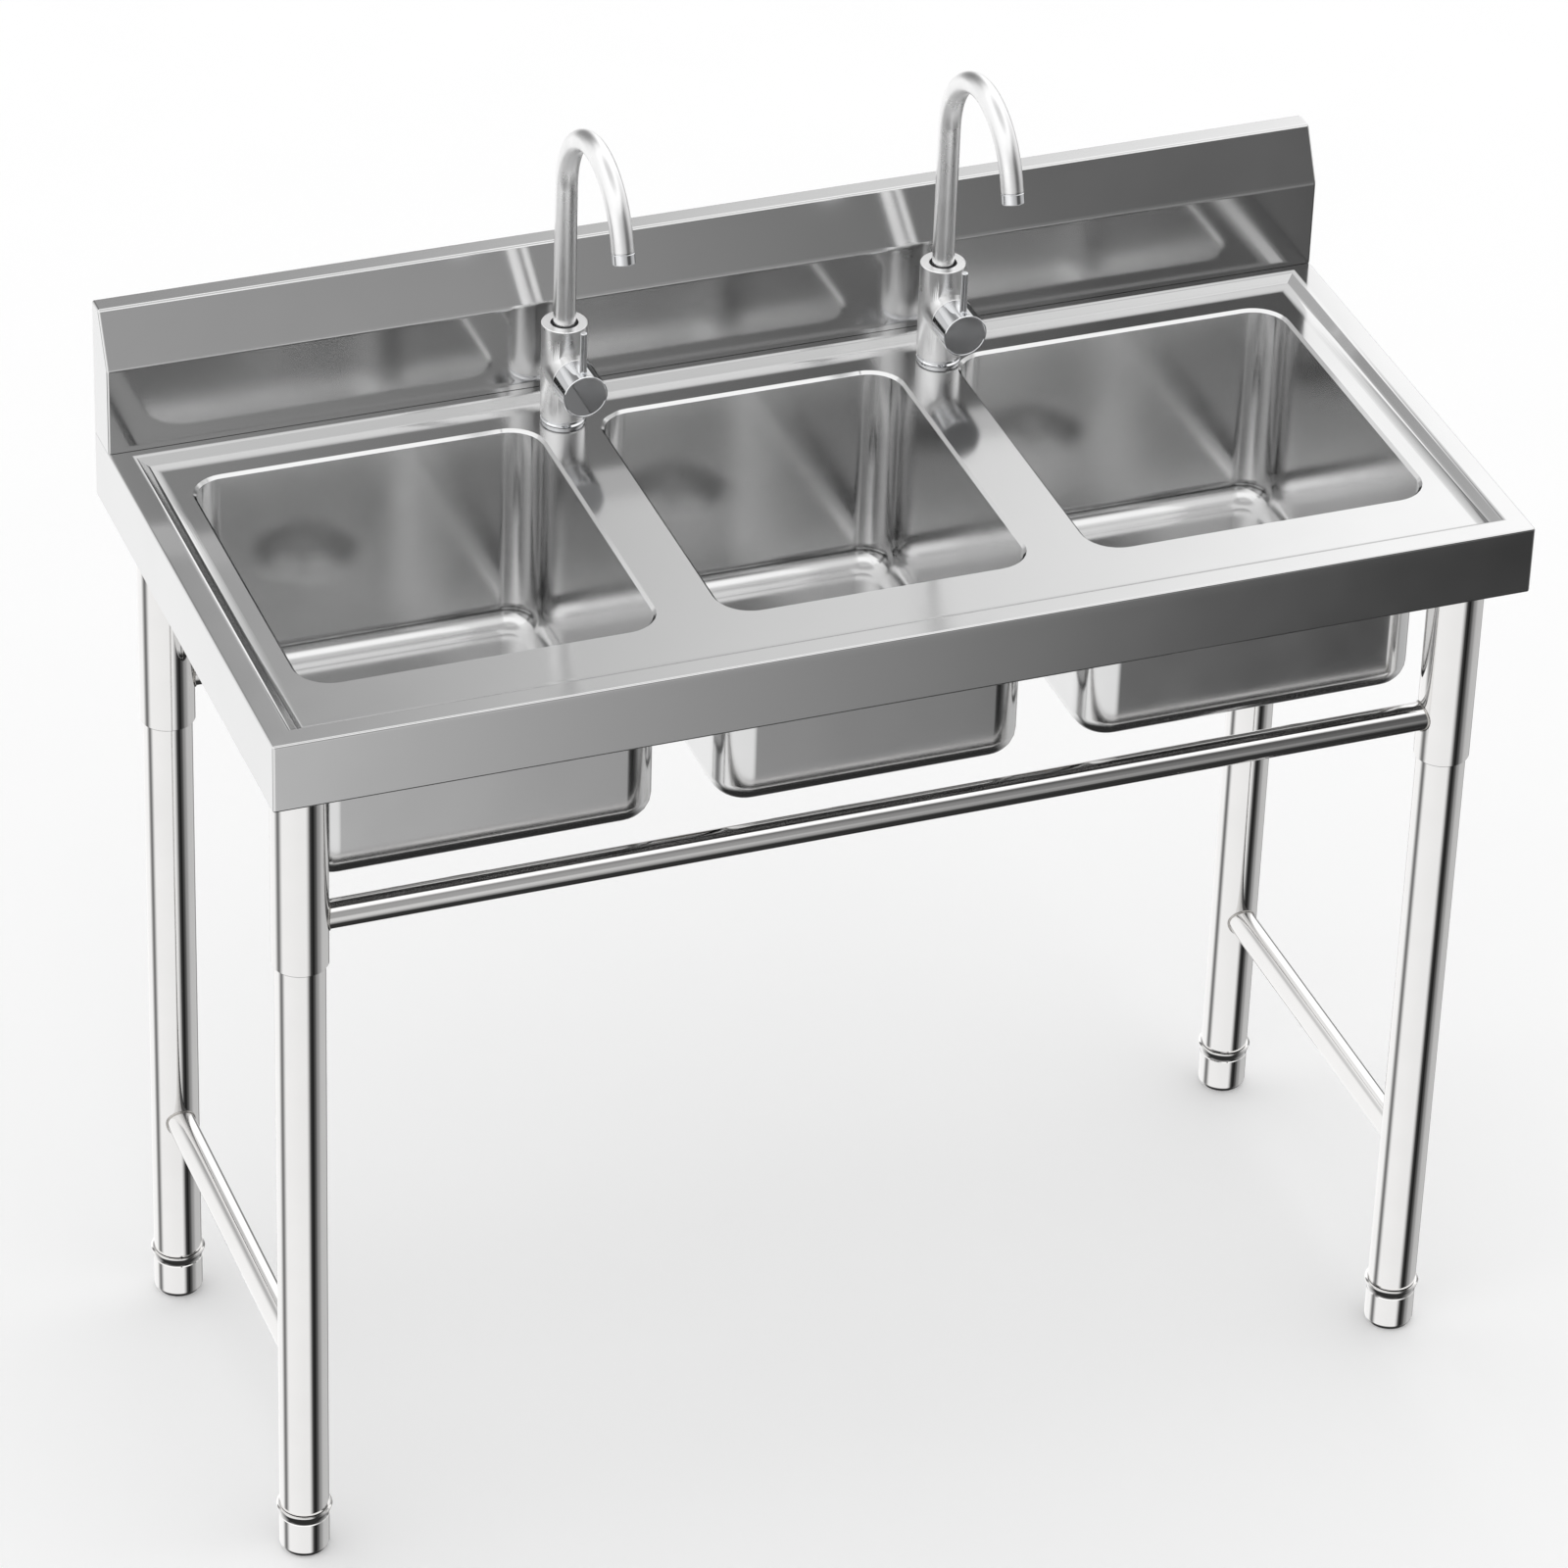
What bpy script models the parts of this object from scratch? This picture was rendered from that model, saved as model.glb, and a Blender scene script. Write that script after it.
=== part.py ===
"""Three compartment sink: a free-standing stainless steel sink with a backsplash and two pillar faucets.

Metres, +Z up. X runs along the sink, the front faces -Y, and the origin is on the floor under its middle.
"""

from math import cos, pi, radians, sin

import bmesh
import bpy
from mathutils import Vector

# Worktop
LENGTH = 1.000
DEPTH = 0.466
DECK_TOP = 0.785
APRON = 0.057
SHEET = 0.0012
GAP = 0.0003
RECESS_DEPTH = 0.0074
RECESS_RUN = 0.0118
RIM_SIDE = 0.0182
RIM_FRONT = 0.0197
RIM_REAR = 0.0080
PAN_TOP = DECK_TOP - RECESS_DEPTH
PAN_UNDER = PAN_TOP - SHEET

# Backsplash
SPLASH_FACE = 0.194
SPLASH_BEND = 0.0735
SPLASH_HEIGHT = 0.115
SPLASH_SETBACK = 0.0215

# Bowls
BOWL_DEPTH = 0.1756
BOWL_HALF_Y = 0.151
OUTER_BOWL_WIDTH = 0.2765
MIDDLE_BOWL_WIDTH = 0.2452
BOWL_SPACING = 0.0509
BOWL_CORNER = 0.0265
BOWL_FOOT_RADIUS = 0.018
BOWL_FLANGE = 0.005
BOWL_SHEET = 0.0010
OUTER_BOWL_X = MIDDLE_BOWL_WIDTH / 2 + BOWL_SPACING + OUTER_BOWL_WIDTH / 2
BOWLS = {
    "left": (-OUTER_BOWL_X, OUTER_BOWL_WIDTH),
    "middle": (0.0, MIDDLE_BOWL_WIDTH),
    "right": (OUTER_BOWL_X, OUTER_BOWL_WIDTH),
}
BOWL_RIM = PAN_UNDER - GAP
BOWL_FLOOR = PAN_TOP - BOWL_DEPTH

# Drains
DRAIN_HOLE = 0.0440
DRAIN_FLANGE = 0.0540
DRAIN_CUP = 0.0425
DRAIN_CUP_DEPTH = 0.040
DRAIN_WALL = 0.0012
DRAIN_SEAT_STEP = 0.0010
DRAIN_SEAT_REACH = 0.0005
DRAIN_OUTLET = 0.0190
DRAIN_OUTLET_LENGTH = 0.018
GASKET_THICKNESS = 0.0030
LOCKNUT_RADIUS = 0.0500
LOCKNUT_HEIGHT = 0.0090
LOCKNUT_LUGS = 3
LUG_MIDDLE = 0.0525
LUG_SIZE = (0.009, 0.010, 0.007)
BASKET_WALL = 0.0010
BASKET_SIDE = 0.0395
BASKET_LIP = 0.0420
BASKET_LIP_TOP = 0.0014
BASKET_TAPER = 0.0050
BASKET_LIFT = 0.0080
BASKET_POST = 0.0030
BASKET_KNOB = 0.0075
BASKET_KNOB_LOW = 0.0020
BASKET_KNOB_HIGH = 0.0060
BASKET_HOLES = 8
BASKET_HOLE_RING = 0.0200
BASKET_HOLE_RADIUS = 0.0040
BASKET_HOLE_SIDES = 8

# Legs
SOCKET_RADIUS = 0.0218
SOCKET_BORE = 0.0199
SOCKET_BOTTOM = 0.556
SOCKET_FLANGE = 0.0260
SOCKET_PLATE = 0.0020
LEG_RADIUS = 0.0194
LEG_WALL = 0.0012
LEG_TOP = 0.740
LEG_BOTTOM = 0.0425
LEG_X = 0.4646
LEG_FRONT_Y = -0.1804
LEG_REAR_Y = 0.1686
RAIL_RADIUS = 0.0114
RAIL_WALL = 0.0012
RAIL_Z = 0.594
STRETCHER_Z = 0.177
FOOT_RADIUS = 0.0198
FOOT_HEIGHT = 0.0332
FOOT_CHAMFER_REACH = 0.0040
FOOT_CHAMFER_HEIGHT = 0.0060
FOOT_RING = 0.0220
FOOT_RING_EDGE = 0.0030
FOOT_RING_BEVEL = 0.0020
INSERT_TOP = 0.0700
STEM_RADIUS = 0.0080
STEM_TOP = 0.0680
SADDLE_REACH = 0.1000

# Faucets
FAUCETS = {"left": -0.147, "right": 0.165}
FAUCET_Y = 0.156
FAUCET_RADIUS = 0.0179
FAUCET_TOP = 0.8627
BASE_RING = 0.0040
BASE_RING_RADIUS = 0.0170
WATERWAY_RADIUS = 0.0050
HANDLE_Z = 0.8245
HANDLE_RADIUS = 0.0178
BOSS_REACH = 0.0255
BOSS_START = 0.0050
HANDLE_REACH = 0.0520
HANDLE_BORE = 0.0150
HANDLE_BORE_DEPTH = 0.0300
HANDLE_CHAMFER = 0.0006
SPINDLE_RADIUS = 0.0040
SPINDLE_START = 0.0270
SPINDLE_REACH = 0.0410
CARTRIDGE_RADIUS = 0.0122
CARTRIDGE_START = 0.0085
VALVE_BORE = 0.0125
VALVE_BORE_START = 0.0040
LEVER_REACH = 0.0450
LEVER_RADIUS = 0.0028
LEVER_SOCKET = 0.0090
LEVER_TOP = 0.8775
LEVER_CHAMFER = 0.0006
SHANK_RADIUS = 0.0090
SHANK_BORE = 0.0060
SHANK_HOLE = 0.0098
SHANK_LOW = 0.7370
SHANK_ENTRY = 0.0095
SHANK_SOCKET = 0.0100
WASHER_RADIUS = 0.0140
WASHER_THICKNESS = 0.0025
NUT_HEIGHT = 0.0080
SPOUT_RADIUS = 0.00875
SPOUT_WALL = 0.0010
SPOUT_BORE = 0.0108
SPOUT_SEAT = 0.8480
ARC_Z = 0.981
ARC_RADIUS = 0.065
ARC_SWEEP = radians(162)
SPOUT_TIP = 0.008
AERATOR_LENGTH = 0.009
AERATOR_BORE = 0.00625
AERATOR_MOUTH = 0.00675
AERATOR_SCREEN = 0.0010
AERATOR_CHAMFER = 0.0006
SEAL_START = 0.0060
SEAL_TOP_GAP = 0.0020
ARC_STEPS = 14
THROUGH = 0.010

ROUND_STEPS = 20
SMALL_STEPS = 12
CORNER_STEPS = 5
FOOT_STEPS = 3


def clear_scene():
    for obj in list(bpy.data.objects):
        bpy.data.objects.remove(obj)


def collection(name):
    made = bpy.data.collections.new(name)
    bpy.context.scene.collection.children.link(made)
    return made


def material(name, rgb, roughness, metallic):
    made = bpy.data.materials.new(name)
    made.use_nodes = True
    shader = made.node_tree.nodes["Principled BSDF"]
    shader.inputs["Base Color"].default_value = (*rgb, 1.0)
    shader.inputs["Roughness"].default_value = roughness
    shader.inputs["Metallic"].default_value = metallic
    return made


clear_scene()
PARTS = collection("three_compartment_sink")
CUTTERS = collection("cutters")
POLISHED = material("polished_stainless_steel", (0.62, 0.62, 0.62), 0.12, 1.0)
TUBE_STEEL = material("bright_tube_steel", (0.66, 0.66, 0.66), 0.08, 1.0)
SATIN = material("satin_nickel_brass", (0.72, 0.71, 0.69), 0.25, 1.0)
CHROME = material("chrome", (0.60, 0.60, 0.61), 0.04, 1.0)
BRASS = material("brass", (0.72, 0.52, 0.22), 0.30, 1.0)
RUBBER = material("black_rubber", (0.02, 0.02, 0.02), 0.75, 0.0)
PLASTIC = material("white_nylon", (0.75, 0.75, 0.72), 0.45, 0.0)
CERAMIC = material("cartridge_plastic", (0.16, 0.17, 0.18), 0.40, 0.0)


def mesh_object(name, mesh, finish, location=(0, 0, 0), rotation=(0, 0, 0)):
    obj = bpy.data.objects.new(name, mesh)
    obj.location = location
    obj.rotation_euler = rotation
    mesh.materials.append(finish)
    PARTS.objects.link(obj)
    return obj


def smooth(obj):
    for face in obj.data.polygons:
        face.use_smooth = True


def bmesh_to_mesh(name, bm):
    bmesh.ops.recalc_face_normals(bm, faces=bm.faces[:])
    mesh = bpy.data.meshes.new(name)
    bm.to_mesh(mesh)
    bm.free()
    return mesh


def turned(name, profile, finish, location=(0, 0, 0), rotation=(0, 0, 0), steps=ROUND_STEPS):
    """A lathe piece. Each (radius, height) of the profile is a point; a ring's profile closes on itself."""
    on_axis = profile[0][0] == 0 and profile[-1][0] == 0
    points = [(r, 0, z) for r, z in profile]
    edges = [(i, i + 1) for i in range(len(points) - 1)]
    if not on_axis:
        edges.append((len(points) - 1, 0))
    mesh = bpy.data.meshes.new(name)
    mesh.from_pydata(points, edges, [])
    obj = mesh_object(name, mesh, finish, location, rotation)
    screw = obj.modifiers.new("lathe", "SCREW")
    screw.steps = steps
    screw.render_steps = steps
    screw.use_merge_vertices = True
    screw.merge_threshold = 0.00001
    screw.use_smooth_shade = True
    return obj


def ring(name, inner, outer, low, high, finish, location=(0, 0, 0), rotation=(0, 0, 0), steps=ROUND_STEPS):
    profile = [(outer, high), (outer, low), (inner, low), (inner, high)]
    return turned(name, profile, finish, location, rotation, steps)


def cutter(name, mesh, location=(0, 0, 0), rotation=(0, 0, 0)):
    obj = bpy.data.objects.new(name, mesh)
    obj.location = location
    obj.rotation_euler = rotation
    obj.hide_render = True
    obj.display_type = "WIRE"
    CUTTERS.objects.link(obj)
    return obj


def prism(name, radius, low, high, sides):
    bm = bmesh.new()
    sizes = {"segments": sides, "radius1": radius, "radius2": radius, "depth": high - low}
    bmesh.ops.create_cone(bm, cap_ends=True, **sizes)
    bmesh.ops.translate(bm, verts=bm.verts[:], vec=(0, 0, (low + high) / 2))
    return bmesh_to_mesh(name, bm)


def cylinder_cutter(name, radius, low, high, location=(0, 0, 0), rotation=(0, 0, 0), steps=ROUND_STEPS):
    return cutter(name, prism(name, radius, low, high, steps), location, rotation)


def boolean(obj, other, operation="DIFFERENCE"):
    modifier = obj.modifiers.new(f"{operation.lower()} {other.name}", "BOOLEAN")
    modifier.operation = operation
    modifier.solver = "EXACT"
    modifier.object = other


def frustum(low_z, high_z, low_box, high_box):
    """A tapered block between two rectangles, each (x0, y0, x1, y1)."""
    bm = bmesh.new()
    bmesh.ops.create_cube(bm, size=1.0)
    for vert in bm.verts:
        x0, y0, x1, y1 = low_box if vert.co.z < 0 else high_box
        x = x0 if vert.co.x < 0 else x1
        y = y0 if vert.co.y < 0 else y1
        vert.co = (x, y, low_z if vert.co.z < 0 else high_z)
    return bm


def upright_edges(bm):
    return [e for e in bm.edges if abs(e.verts[0].co.z - e.verts[1].co.z) > 0.001]


def rounded_block(width, depth, low, high, corner, steps):
    bm = bmesh.new()
    bmesh.ops.create_cube(bm, size=1.0)
    bmesh.ops.scale(bm, verts=bm.verts[:], vec=(width, depth, high - low))
    bmesh.ops.translate(bm, verts=bm.verts[:], vec=(0, 0, (low + high) / 2))
    bmesh.ops.bevel(bm, geom=upright_edges(bm), offset=corner, segments=steps, profile=0.5, affect="EDGES")
    return bm


def recess_box(inset):
    """The rectangle of the recess in the worktop, drawn in from its upper edge by inset."""
    return (
        -LENGTH / 2 + RIM_SIDE + inset,
        -DEPTH / 2 + RIM_FRONT + inset,
        LENGTH / 2 - RIM_SIDE - inset,
        SPLASH_FACE - RIM_REAR - inset,
    )


def worktop():
    bm = bmesh.new()
    bmesh.ops.create_cube(bm, size=1.0)
    bmesh.ops.scale(bm, verts=bm.verts[:], vec=(LENGTH, DEPTH, APRON))
    bmesh.ops.translate(bm, verts=bm.verts[:], vec=(0, 0, DECK_TOP - APRON / 2))
    underside = [f for f in bm.faces if f.normal.z < -0.5]
    bmesh.ops.delete(bm, geom=underside, context="FACES_ONLY")
    deck = mesh_object("worktop_deck", bmesh_to_mesh("worktop_deck", bm), POLISHED)
    shell = deck.modifiers.new("sheet", "SOLIDIFY")
    shell.thickness = SHEET
    shell.offset = -1
    shell.use_even_offset = True
    slope = RECESS_RUN / RECESS_DEPTH
    pan_high = DECK_TOP - SHEET / 2
    pan = frustum(
        PAN_UNDER,
        pan_high,
        recess_box(RECESS_RUN - SHEET / 2),
        recess_box(RECESS_RUN - SHEET / 2 - (pan_high - PAN_UNDER) * slope),
    )
    boolean(deck, cutter("pan_block", bmesh_to_mesh("pan_block", pan)), "UNION")
    hollow = frustum(PAN_TOP, DECK_TOP + THROUGH, recess_box(RECESS_RUN), recess_box(-THROUGH * slope))
    boolean(deck, cutter("recess", bmesh_to_mesh("recess", hollow)))
    for side, (x, width) in BOWLS.items():
        low, high = PAN_UNDER - THROUGH, PAN_TOP + THROUGH
        opening = rounded_block(width, 2 * BOWL_HALF_Y, low, high, BOWL_CORNER, CORNER_STEPS)
        mesh = bmesh_to_mesh(f"{side}_opening", opening)
        boolean(deck, cutter(f"{side}_opening", mesh, (x, 0, 0)))
    for side, x in FAUCETS.items():
        low, high = PAN_UNDER - THROUGH, PAN_TOP + THROUGH
        hole = cylinder_cutter(f"{side}_tap_hole", SHANK_HOLE, low, high, (x, FAUCET_Y, 0))
        boolean(deck, hole)


def backsplash():
    rear = DEPTH / 2
    low = DECK_TOP + GAP
    outline = [
        (SPLASH_FACE, low),
        (SPLASH_FACE, DECK_TOP + SPLASH_BEND),
        (SPLASH_FACE + SPLASH_SETBACK, DECK_TOP + SPLASH_HEIGHT),
        (rear, DECK_TOP + SPLASH_HEIGHT),
        (rear, low),
    ]
    bm = bmesh.new()
    end = bm.faces.new([bm.verts.new((-LENGTH / 2, y, z)) for y, z in outline])
    drawn = bmesh.ops.extrude_face_region(bm, geom=[end])
    moved = [v for v in drawn["geom"] if isinstance(v, bmesh.types.BMVert)]
    bmesh.ops.translate(bm, verts=moved, vec=(LENGTH, 0, 0))
    bmesh.ops.recalc_face_normals(bm, faces=bm.faces[:])
    foot = [f for f in bm.faces if f.normal.z < -0.5]
    bmesh.ops.delete(bm, geom=foot, context="FACES_ONLY")
    splash = mesh_object("backsplash", bmesh_to_mesh("backsplash", bm), POLISHED)
    shell = splash.modifiers.new("sheet", "SOLIDIFY")
    shell.thickness = SHEET
    shell.offset = -1
    shell.use_even_offset = True


def flange_outwards(bm, half_x, half_y, width):
    """Turns the bowl's open rim out into a flat flange, square to the rounded rectangle it follows."""
    rim = [e for e in bm.edges if e.is_boundary]
    drawn = bmesh.ops.extrude_edge_only(bm, edges=rim)["geom"]
    for vert in (g for g in drawn if isinstance(g, bmesh.types.BMVert)):
        core_x = max(-half_x + BOWL_CORNER, min(half_x - BOWL_CORNER, vert.co.x))
        core_y = max(-half_y + BOWL_CORNER, min(half_y - BOWL_CORNER, vert.co.y))
        out = Vector((vert.co.x - core_x, vert.co.y - core_y, 0)).normalized()
        vert.co += out * (width + BOWL_SHEET)


def bowl(side, x, width):
    bm = rounded_block(width, 2 * BOWL_HALF_Y, BOWL_FLOOR, BOWL_RIM, BOWL_CORNER, CORNER_STEPS)
    lid = [f for f in bm.faces if f.normal.z > 0.5]
    bmesh.ops.delete(bm, geom=lid, context="FACES")
    foot = [e for e in bm.edges if all(abs(v.co.z - BOWL_FLOOR) < 0.0001 for v in e.verts)]
    bmesh.ops.bevel(bm, geom=foot, offset=BOWL_FOOT_RADIUS, segments=FOOT_STEPS, profile=0.5, affect="EDGES")
    flange_outwards(bm, width / 2, BOWL_HALF_Y, BOWL_FLANGE)
    piece = mesh_object(f"{side}_bowl", bmesh_to_mesh(f"{side}_bowl", bm), POLISHED, (x, 0, 0))
    shell = piece.modifiers.new("sheet", "SOLIDIFY")
    shell.thickness = BOWL_SHEET
    shell.offset = -1
    shell.use_even_offset = True
    low, high = BOWL_FLOOR - THROUGH, BOWL_FLOOR + THROUGH
    hole = cylinder_cutter(f"{side}_drain_hole", DRAIN_HOLE, low, high, (x, 0, 0))
    boolean(piece, hole)


def drain(side, x):
    seat = BOWL_FLOOR + GAP
    cup_foot = seat - DRAIN_CUP_DEPTH
    outlet_foot = cup_foot - DRAIN_OUTLET_LENGTH
    body = [
        (DRAIN_FLANGE, seat + DRAIN_WALL),
        (DRAIN_FLANGE, seat),
        (DRAIN_CUP, seat),
        (DRAIN_CUP, cup_foot),
        (DRAIN_OUTLET, cup_foot),
        (DRAIN_OUTLET, outlet_foot),
        (DRAIN_OUTLET - DRAIN_WALL, outlet_foot),
        (DRAIN_OUTLET - DRAIN_WALL, cup_foot + DRAIN_WALL),
        (DRAIN_CUP - DRAIN_WALL, cup_foot + DRAIN_WALL),
        (DRAIN_CUP - DRAIN_WALL, seat - DRAIN_SEAT_STEP),
        (DRAIN_CUP + DRAIN_SEAT_REACH, seat + DRAIN_WALL),
    ]
    turned(f"{side}_drain_body", body, POLISHED, (x, 0, 0))
    drain_seal(side, x)
    basket(side, x, seat, cup_foot + DRAIN_WALL)


def drain_seal(side, x):
    """The gasket under the bowl and the nut with lugs that draws the drain down on it."""
    bore = DRAIN_CUP + GAP
    under = BOWL_FLOOR - BOWL_SHEET - GAP
    gasket_low = under - GASKET_THICKNESS
    ring(f"{side}_drain_gasket", bore, DRAIN_FLANGE, gasket_low, under, RUBBER, (x, 0, 0))
    nut_top = gasket_low - GAP
    nut_low = nut_top - LOCKNUT_HEIGHT
    lock = ring(f"{side}_drain_locknut", bore, LOCKNUT_RADIUS, nut_low, nut_top, PLASTIC, (x, 0, 0))
    for turn in range(LOCKNUT_LUGS):
        bm = bmesh.new()
        bmesh.ops.create_cube(bm, size=1.0)
        bmesh.ops.scale(bm, verts=bm.verts[:], vec=LUG_SIZE)
        bmesh.ops.translate(bm, verts=bm.verts[:], vec=(LUG_MIDDLE, 0, (nut_low + nut_top) / 2))
        name = f"{side}_nut_lug_{turn}"
        lug = cutter(name, bmesh_to_mesh(name, bm), (x, 0, 0), (0, 0, turn * 2 * pi / LOCKNUT_LUGS))
        boolean(lock, lug, "UNION")


def basket(side, x, seat, cup_floor):
    """The lift-out strainer: a shallow cup with a rim that rests in the drain, a post and a pull knob."""
    floor = cup_floor + BASKET_LIFT
    foot = BASKET_SIDE - BASKET_TAPER
    rim_top = seat + BASKET_LIP_TOP
    profile = [
        (0, seat + BASKET_KNOB_HIGH),
        (BASKET_KNOB, seat + BASKET_KNOB_HIGH),
        (BASKET_KNOB, seat + BASKET_KNOB_LOW),
        (BASKET_POST, seat),
        (BASKET_POST, floor + BASKET_WALL),
        (foot - BASKET_WALL, floor + BASKET_WALL),
        (BASKET_SIDE - BASKET_WALL, rim_top),
        (BASKET_LIP, rim_top),
        (BASKET_LIP, rim_top - BASKET_WALL),
        (BASKET_SIDE, rim_top - BASKET_WALL),
        (foot, floor),
        (0, floor),
    ]
    piece = turned(f"{side}_strainer_basket", profile, POLISHED, (x, 0, 0))
    for turn in range(BASKET_HOLES):
        angle = (turn + 0.5) * 2 * pi / BASKET_HOLES
        place = (x + BASKET_HOLE_RING * cos(angle), BASKET_HOLE_RING * sin(angle), 0)
        name = f"{side}_strainer_hole_{turn}"
        low, high = floor - THROUGH, floor + THROUGH
        boolean(piece, cylinder_cutter(name, BASKET_HOLE_RADIUS, low, high, place, steps=BASKET_HOLE_SIDES))


def tube(name, radius, wall, start, end, finish):
    """A straight round tube between two points, open at both ends."""
    start, end = Vector(start), Vector(end)
    run = end - start
    turn = run.to_track_quat("Z", "Y").to_euler()
    return ring(name, radius - wall, radius, 0, run.length, finish, start, turn)


def leg(corner, x, y):
    plate = PAN_UNDER - GAP
    socket = [
        (0, plate),
        (SOCKET_FLANGE, plate),
        (SOCKET_FLANGE, plate - SOCKET_PLATE),
        (SOCKET_RADIUS, plate - SOCKET_PLATE),
        (SOCKET_RADIUS, SOCKET_BOTTOM),
        (SOCKET_BORE, SOCKET_BOTTOM),
        (SOCKET_BORE, plate - SOCKET_PLATE),
        (0, plate - SOCKET_PLATE),
    ]
    turned(f"{corner}_leg_socket", socket, TUBE_STEEL, (x, y, 0))
    tube(f"{corner}_leg_tube", LEG_RADIUS, LEG_WALL, (x, y, LEG_BOTTOM), (x, y, LEG_TOP), TUBE_STEEL)
    ring_top = LEG_BOTTOM - GAP
    ring_low = FOOT_HEIGHT + GAP
    plug = LEG_RADIUS - LEG_WALL - GAP
    insert = [
        (plug, INSERT_TOP),
        (plug, ring_top),
        (FOOT_RING, ring_top),
        (FOOT_RING, ring_low + FOOT_RING_EDGE),
        (FOOT_RING - FOOT_RING_BEVEL, ring_low),
        (STEM_RADIUS + GAP, ring_low),
        (STEM_RADIUS + GAP, INSERT_TOP),
    ]
    turned(f"{corner}_foot_insert", insert, TUBE_STEEL, (x, y, 0))
    foot = [
        (0, STEM_TOP),
        (STEM_RADIUS, STEM_TOP),
        (STEM_RADIUS, FOOT_HEIGHT),
        (FOOT_RADIUS, FOOT_HEIGHT),
        (FOOT_RADIUS, FOOT_CHAMFER_HEIGHT),
        (FOOT_RADIUS - FOOT_CHAMFER_REACH, 0),
        (0, 0),
    ]
    turned(f"{corner}_adjusting_foot", foot, TUBE_STEEL, (x, y, 0))


def rail(name, y):
    """A rail between two leg sockets, its ends hollowed to fit round them."""
    piece = tube(name, RAIL_RADIUS, RAIL_WALL, (-LEG_X, y, RAIL_Z), (LEG_X, y, RAIL_Z), TUBE_STEEL)
    for end in (-1, 1):
        place = (end * LEG_X, y, RAIL_Z)
        fit = cylinder_cutter(f"{name}_end_{end}", SOCKET_RADIUS + GAP, -SADDLE_REACH, SADDLE_REACH, place)
        boolean(piece, fit)


def stretcher(name, x):
    """A low stretcher between the front and rear legs of one end."""
    ends = (x, LEG_FRONT_Y, STRETCHER_Z), (x, LEG_REAR_Y, STRETCHER_Z)
    piece = tube(name, RAIL_RADIUS, RAIL_WALL, *ends, TUBE_STEEL)
    for y in (LEG_FRONT_Y, LEG_REAR_Y):
        place = (x, y, STRETCHER_Z)
        fit = cylinder_cutter(f"{name}_end_{y}", LEG_RADIUS + GAP, -SADDLE_REACH, SADDLE_REACH, place)
        boolean(piece, fit)


def faucet_body(side, x):
    low = PAN_TOP + BASE_RING + 2 * GAP
    to_front = (pi / 2, 0, 0)
    body = turned(
        f"{side}_faucet_body",
        [(0, FAUCET_TOP), (FAUCET_RADIUS, FAUCET_TOP), (FAUCET_RADIUS, low), (0, low)],
        SATIN,
        (x, FAUCET_Y, 0),
    )
    at_handle = (x, FAUCET_Y, HANDLE_Z)
    boss = cylinder_cutter(f"{side}_boss", HANDLE_RADIUS, BOSS_START, BOSS_REACH, at_handle, to_front)
    boolean(body, boss, "UNION")
    reach = BOSS_REACH + THROUGH
    bore = cylinder_cutter(f"{side}_valve_bore", VALVE_BORE, -VALVE_BORE_START, reach, at_handle, to_front)
    boolean(body, bore)
    at_faucet = (x, FAUCET_Y, 0)
    above = cylinder_cutter(f"{side}_spout_bore", SPOUT_BORE, SPOUT_SEAT, FAUCET_TOP + THROUGH, at_faucet)
    boolean(body, above)
    way_low, way_high = low - THROUGH, SPOUT_SEAT + THROUGH / 2
    name = f"{side}_waterway"
    way = cylinder_cutter(name, WATERWAY_RADIUS, way_low, way_high, at_faucet, steps=SMALL_STEPS)
    boolean(body, way)
    shank_end = low + SHANK_SOCKET
    below = cylinder_cutter(f"{side}_shank_bore", SHANK_RADIUS + GAP, low - THROUGH, shank_end, at_faucet)
    boolean(body, below)
    base = PAN_TOP + GAP
    name = f"{side}_faucet_base_ring"
    ring(name, SHANK_HOLE, BASE_RING_RADIUS, base, base + BASE_RING, CHROME, at_faucet)


def faucet_mounting(side, x):
    top = PAN_TOP + BASE_RING + SHANK_ENTRY
    at_faucet = (x, FAUCET_Y, 0)
    name = f"{side}_faucet_shank"
    ring(name, SHANK_BORE, SHANK_RADIUS, SHANK_LOW, top, BRASS, at_faucet, steps=SMALL_STEPS)
    under = PAN_UNDER - GAP
    washer_low = under - WASHER_THICKNESS
    bore = SHANK_RADIUS + GAP
    ring(f"{side}_faucet_washer", bore, WASHER_RADIUS, washer_low, under, RUBBER, at_faucet)
    nut_top = washer_low - GAP
    nut_low = nut_top - NUT_HEIGHT
    name = f"{side}_faucet_nut"
    nut = mesh_object(name, prism(name, WASHER_RADIUS, nut_low, nut_top, 6), BRASS, at_faucet)
    thread = cylinder_cutter(f"{side}_nut_thread", bore, nut_low - THROUGH, nut_top + THROUGH, at_faucet)
    boolean(nut, thread)


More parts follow.
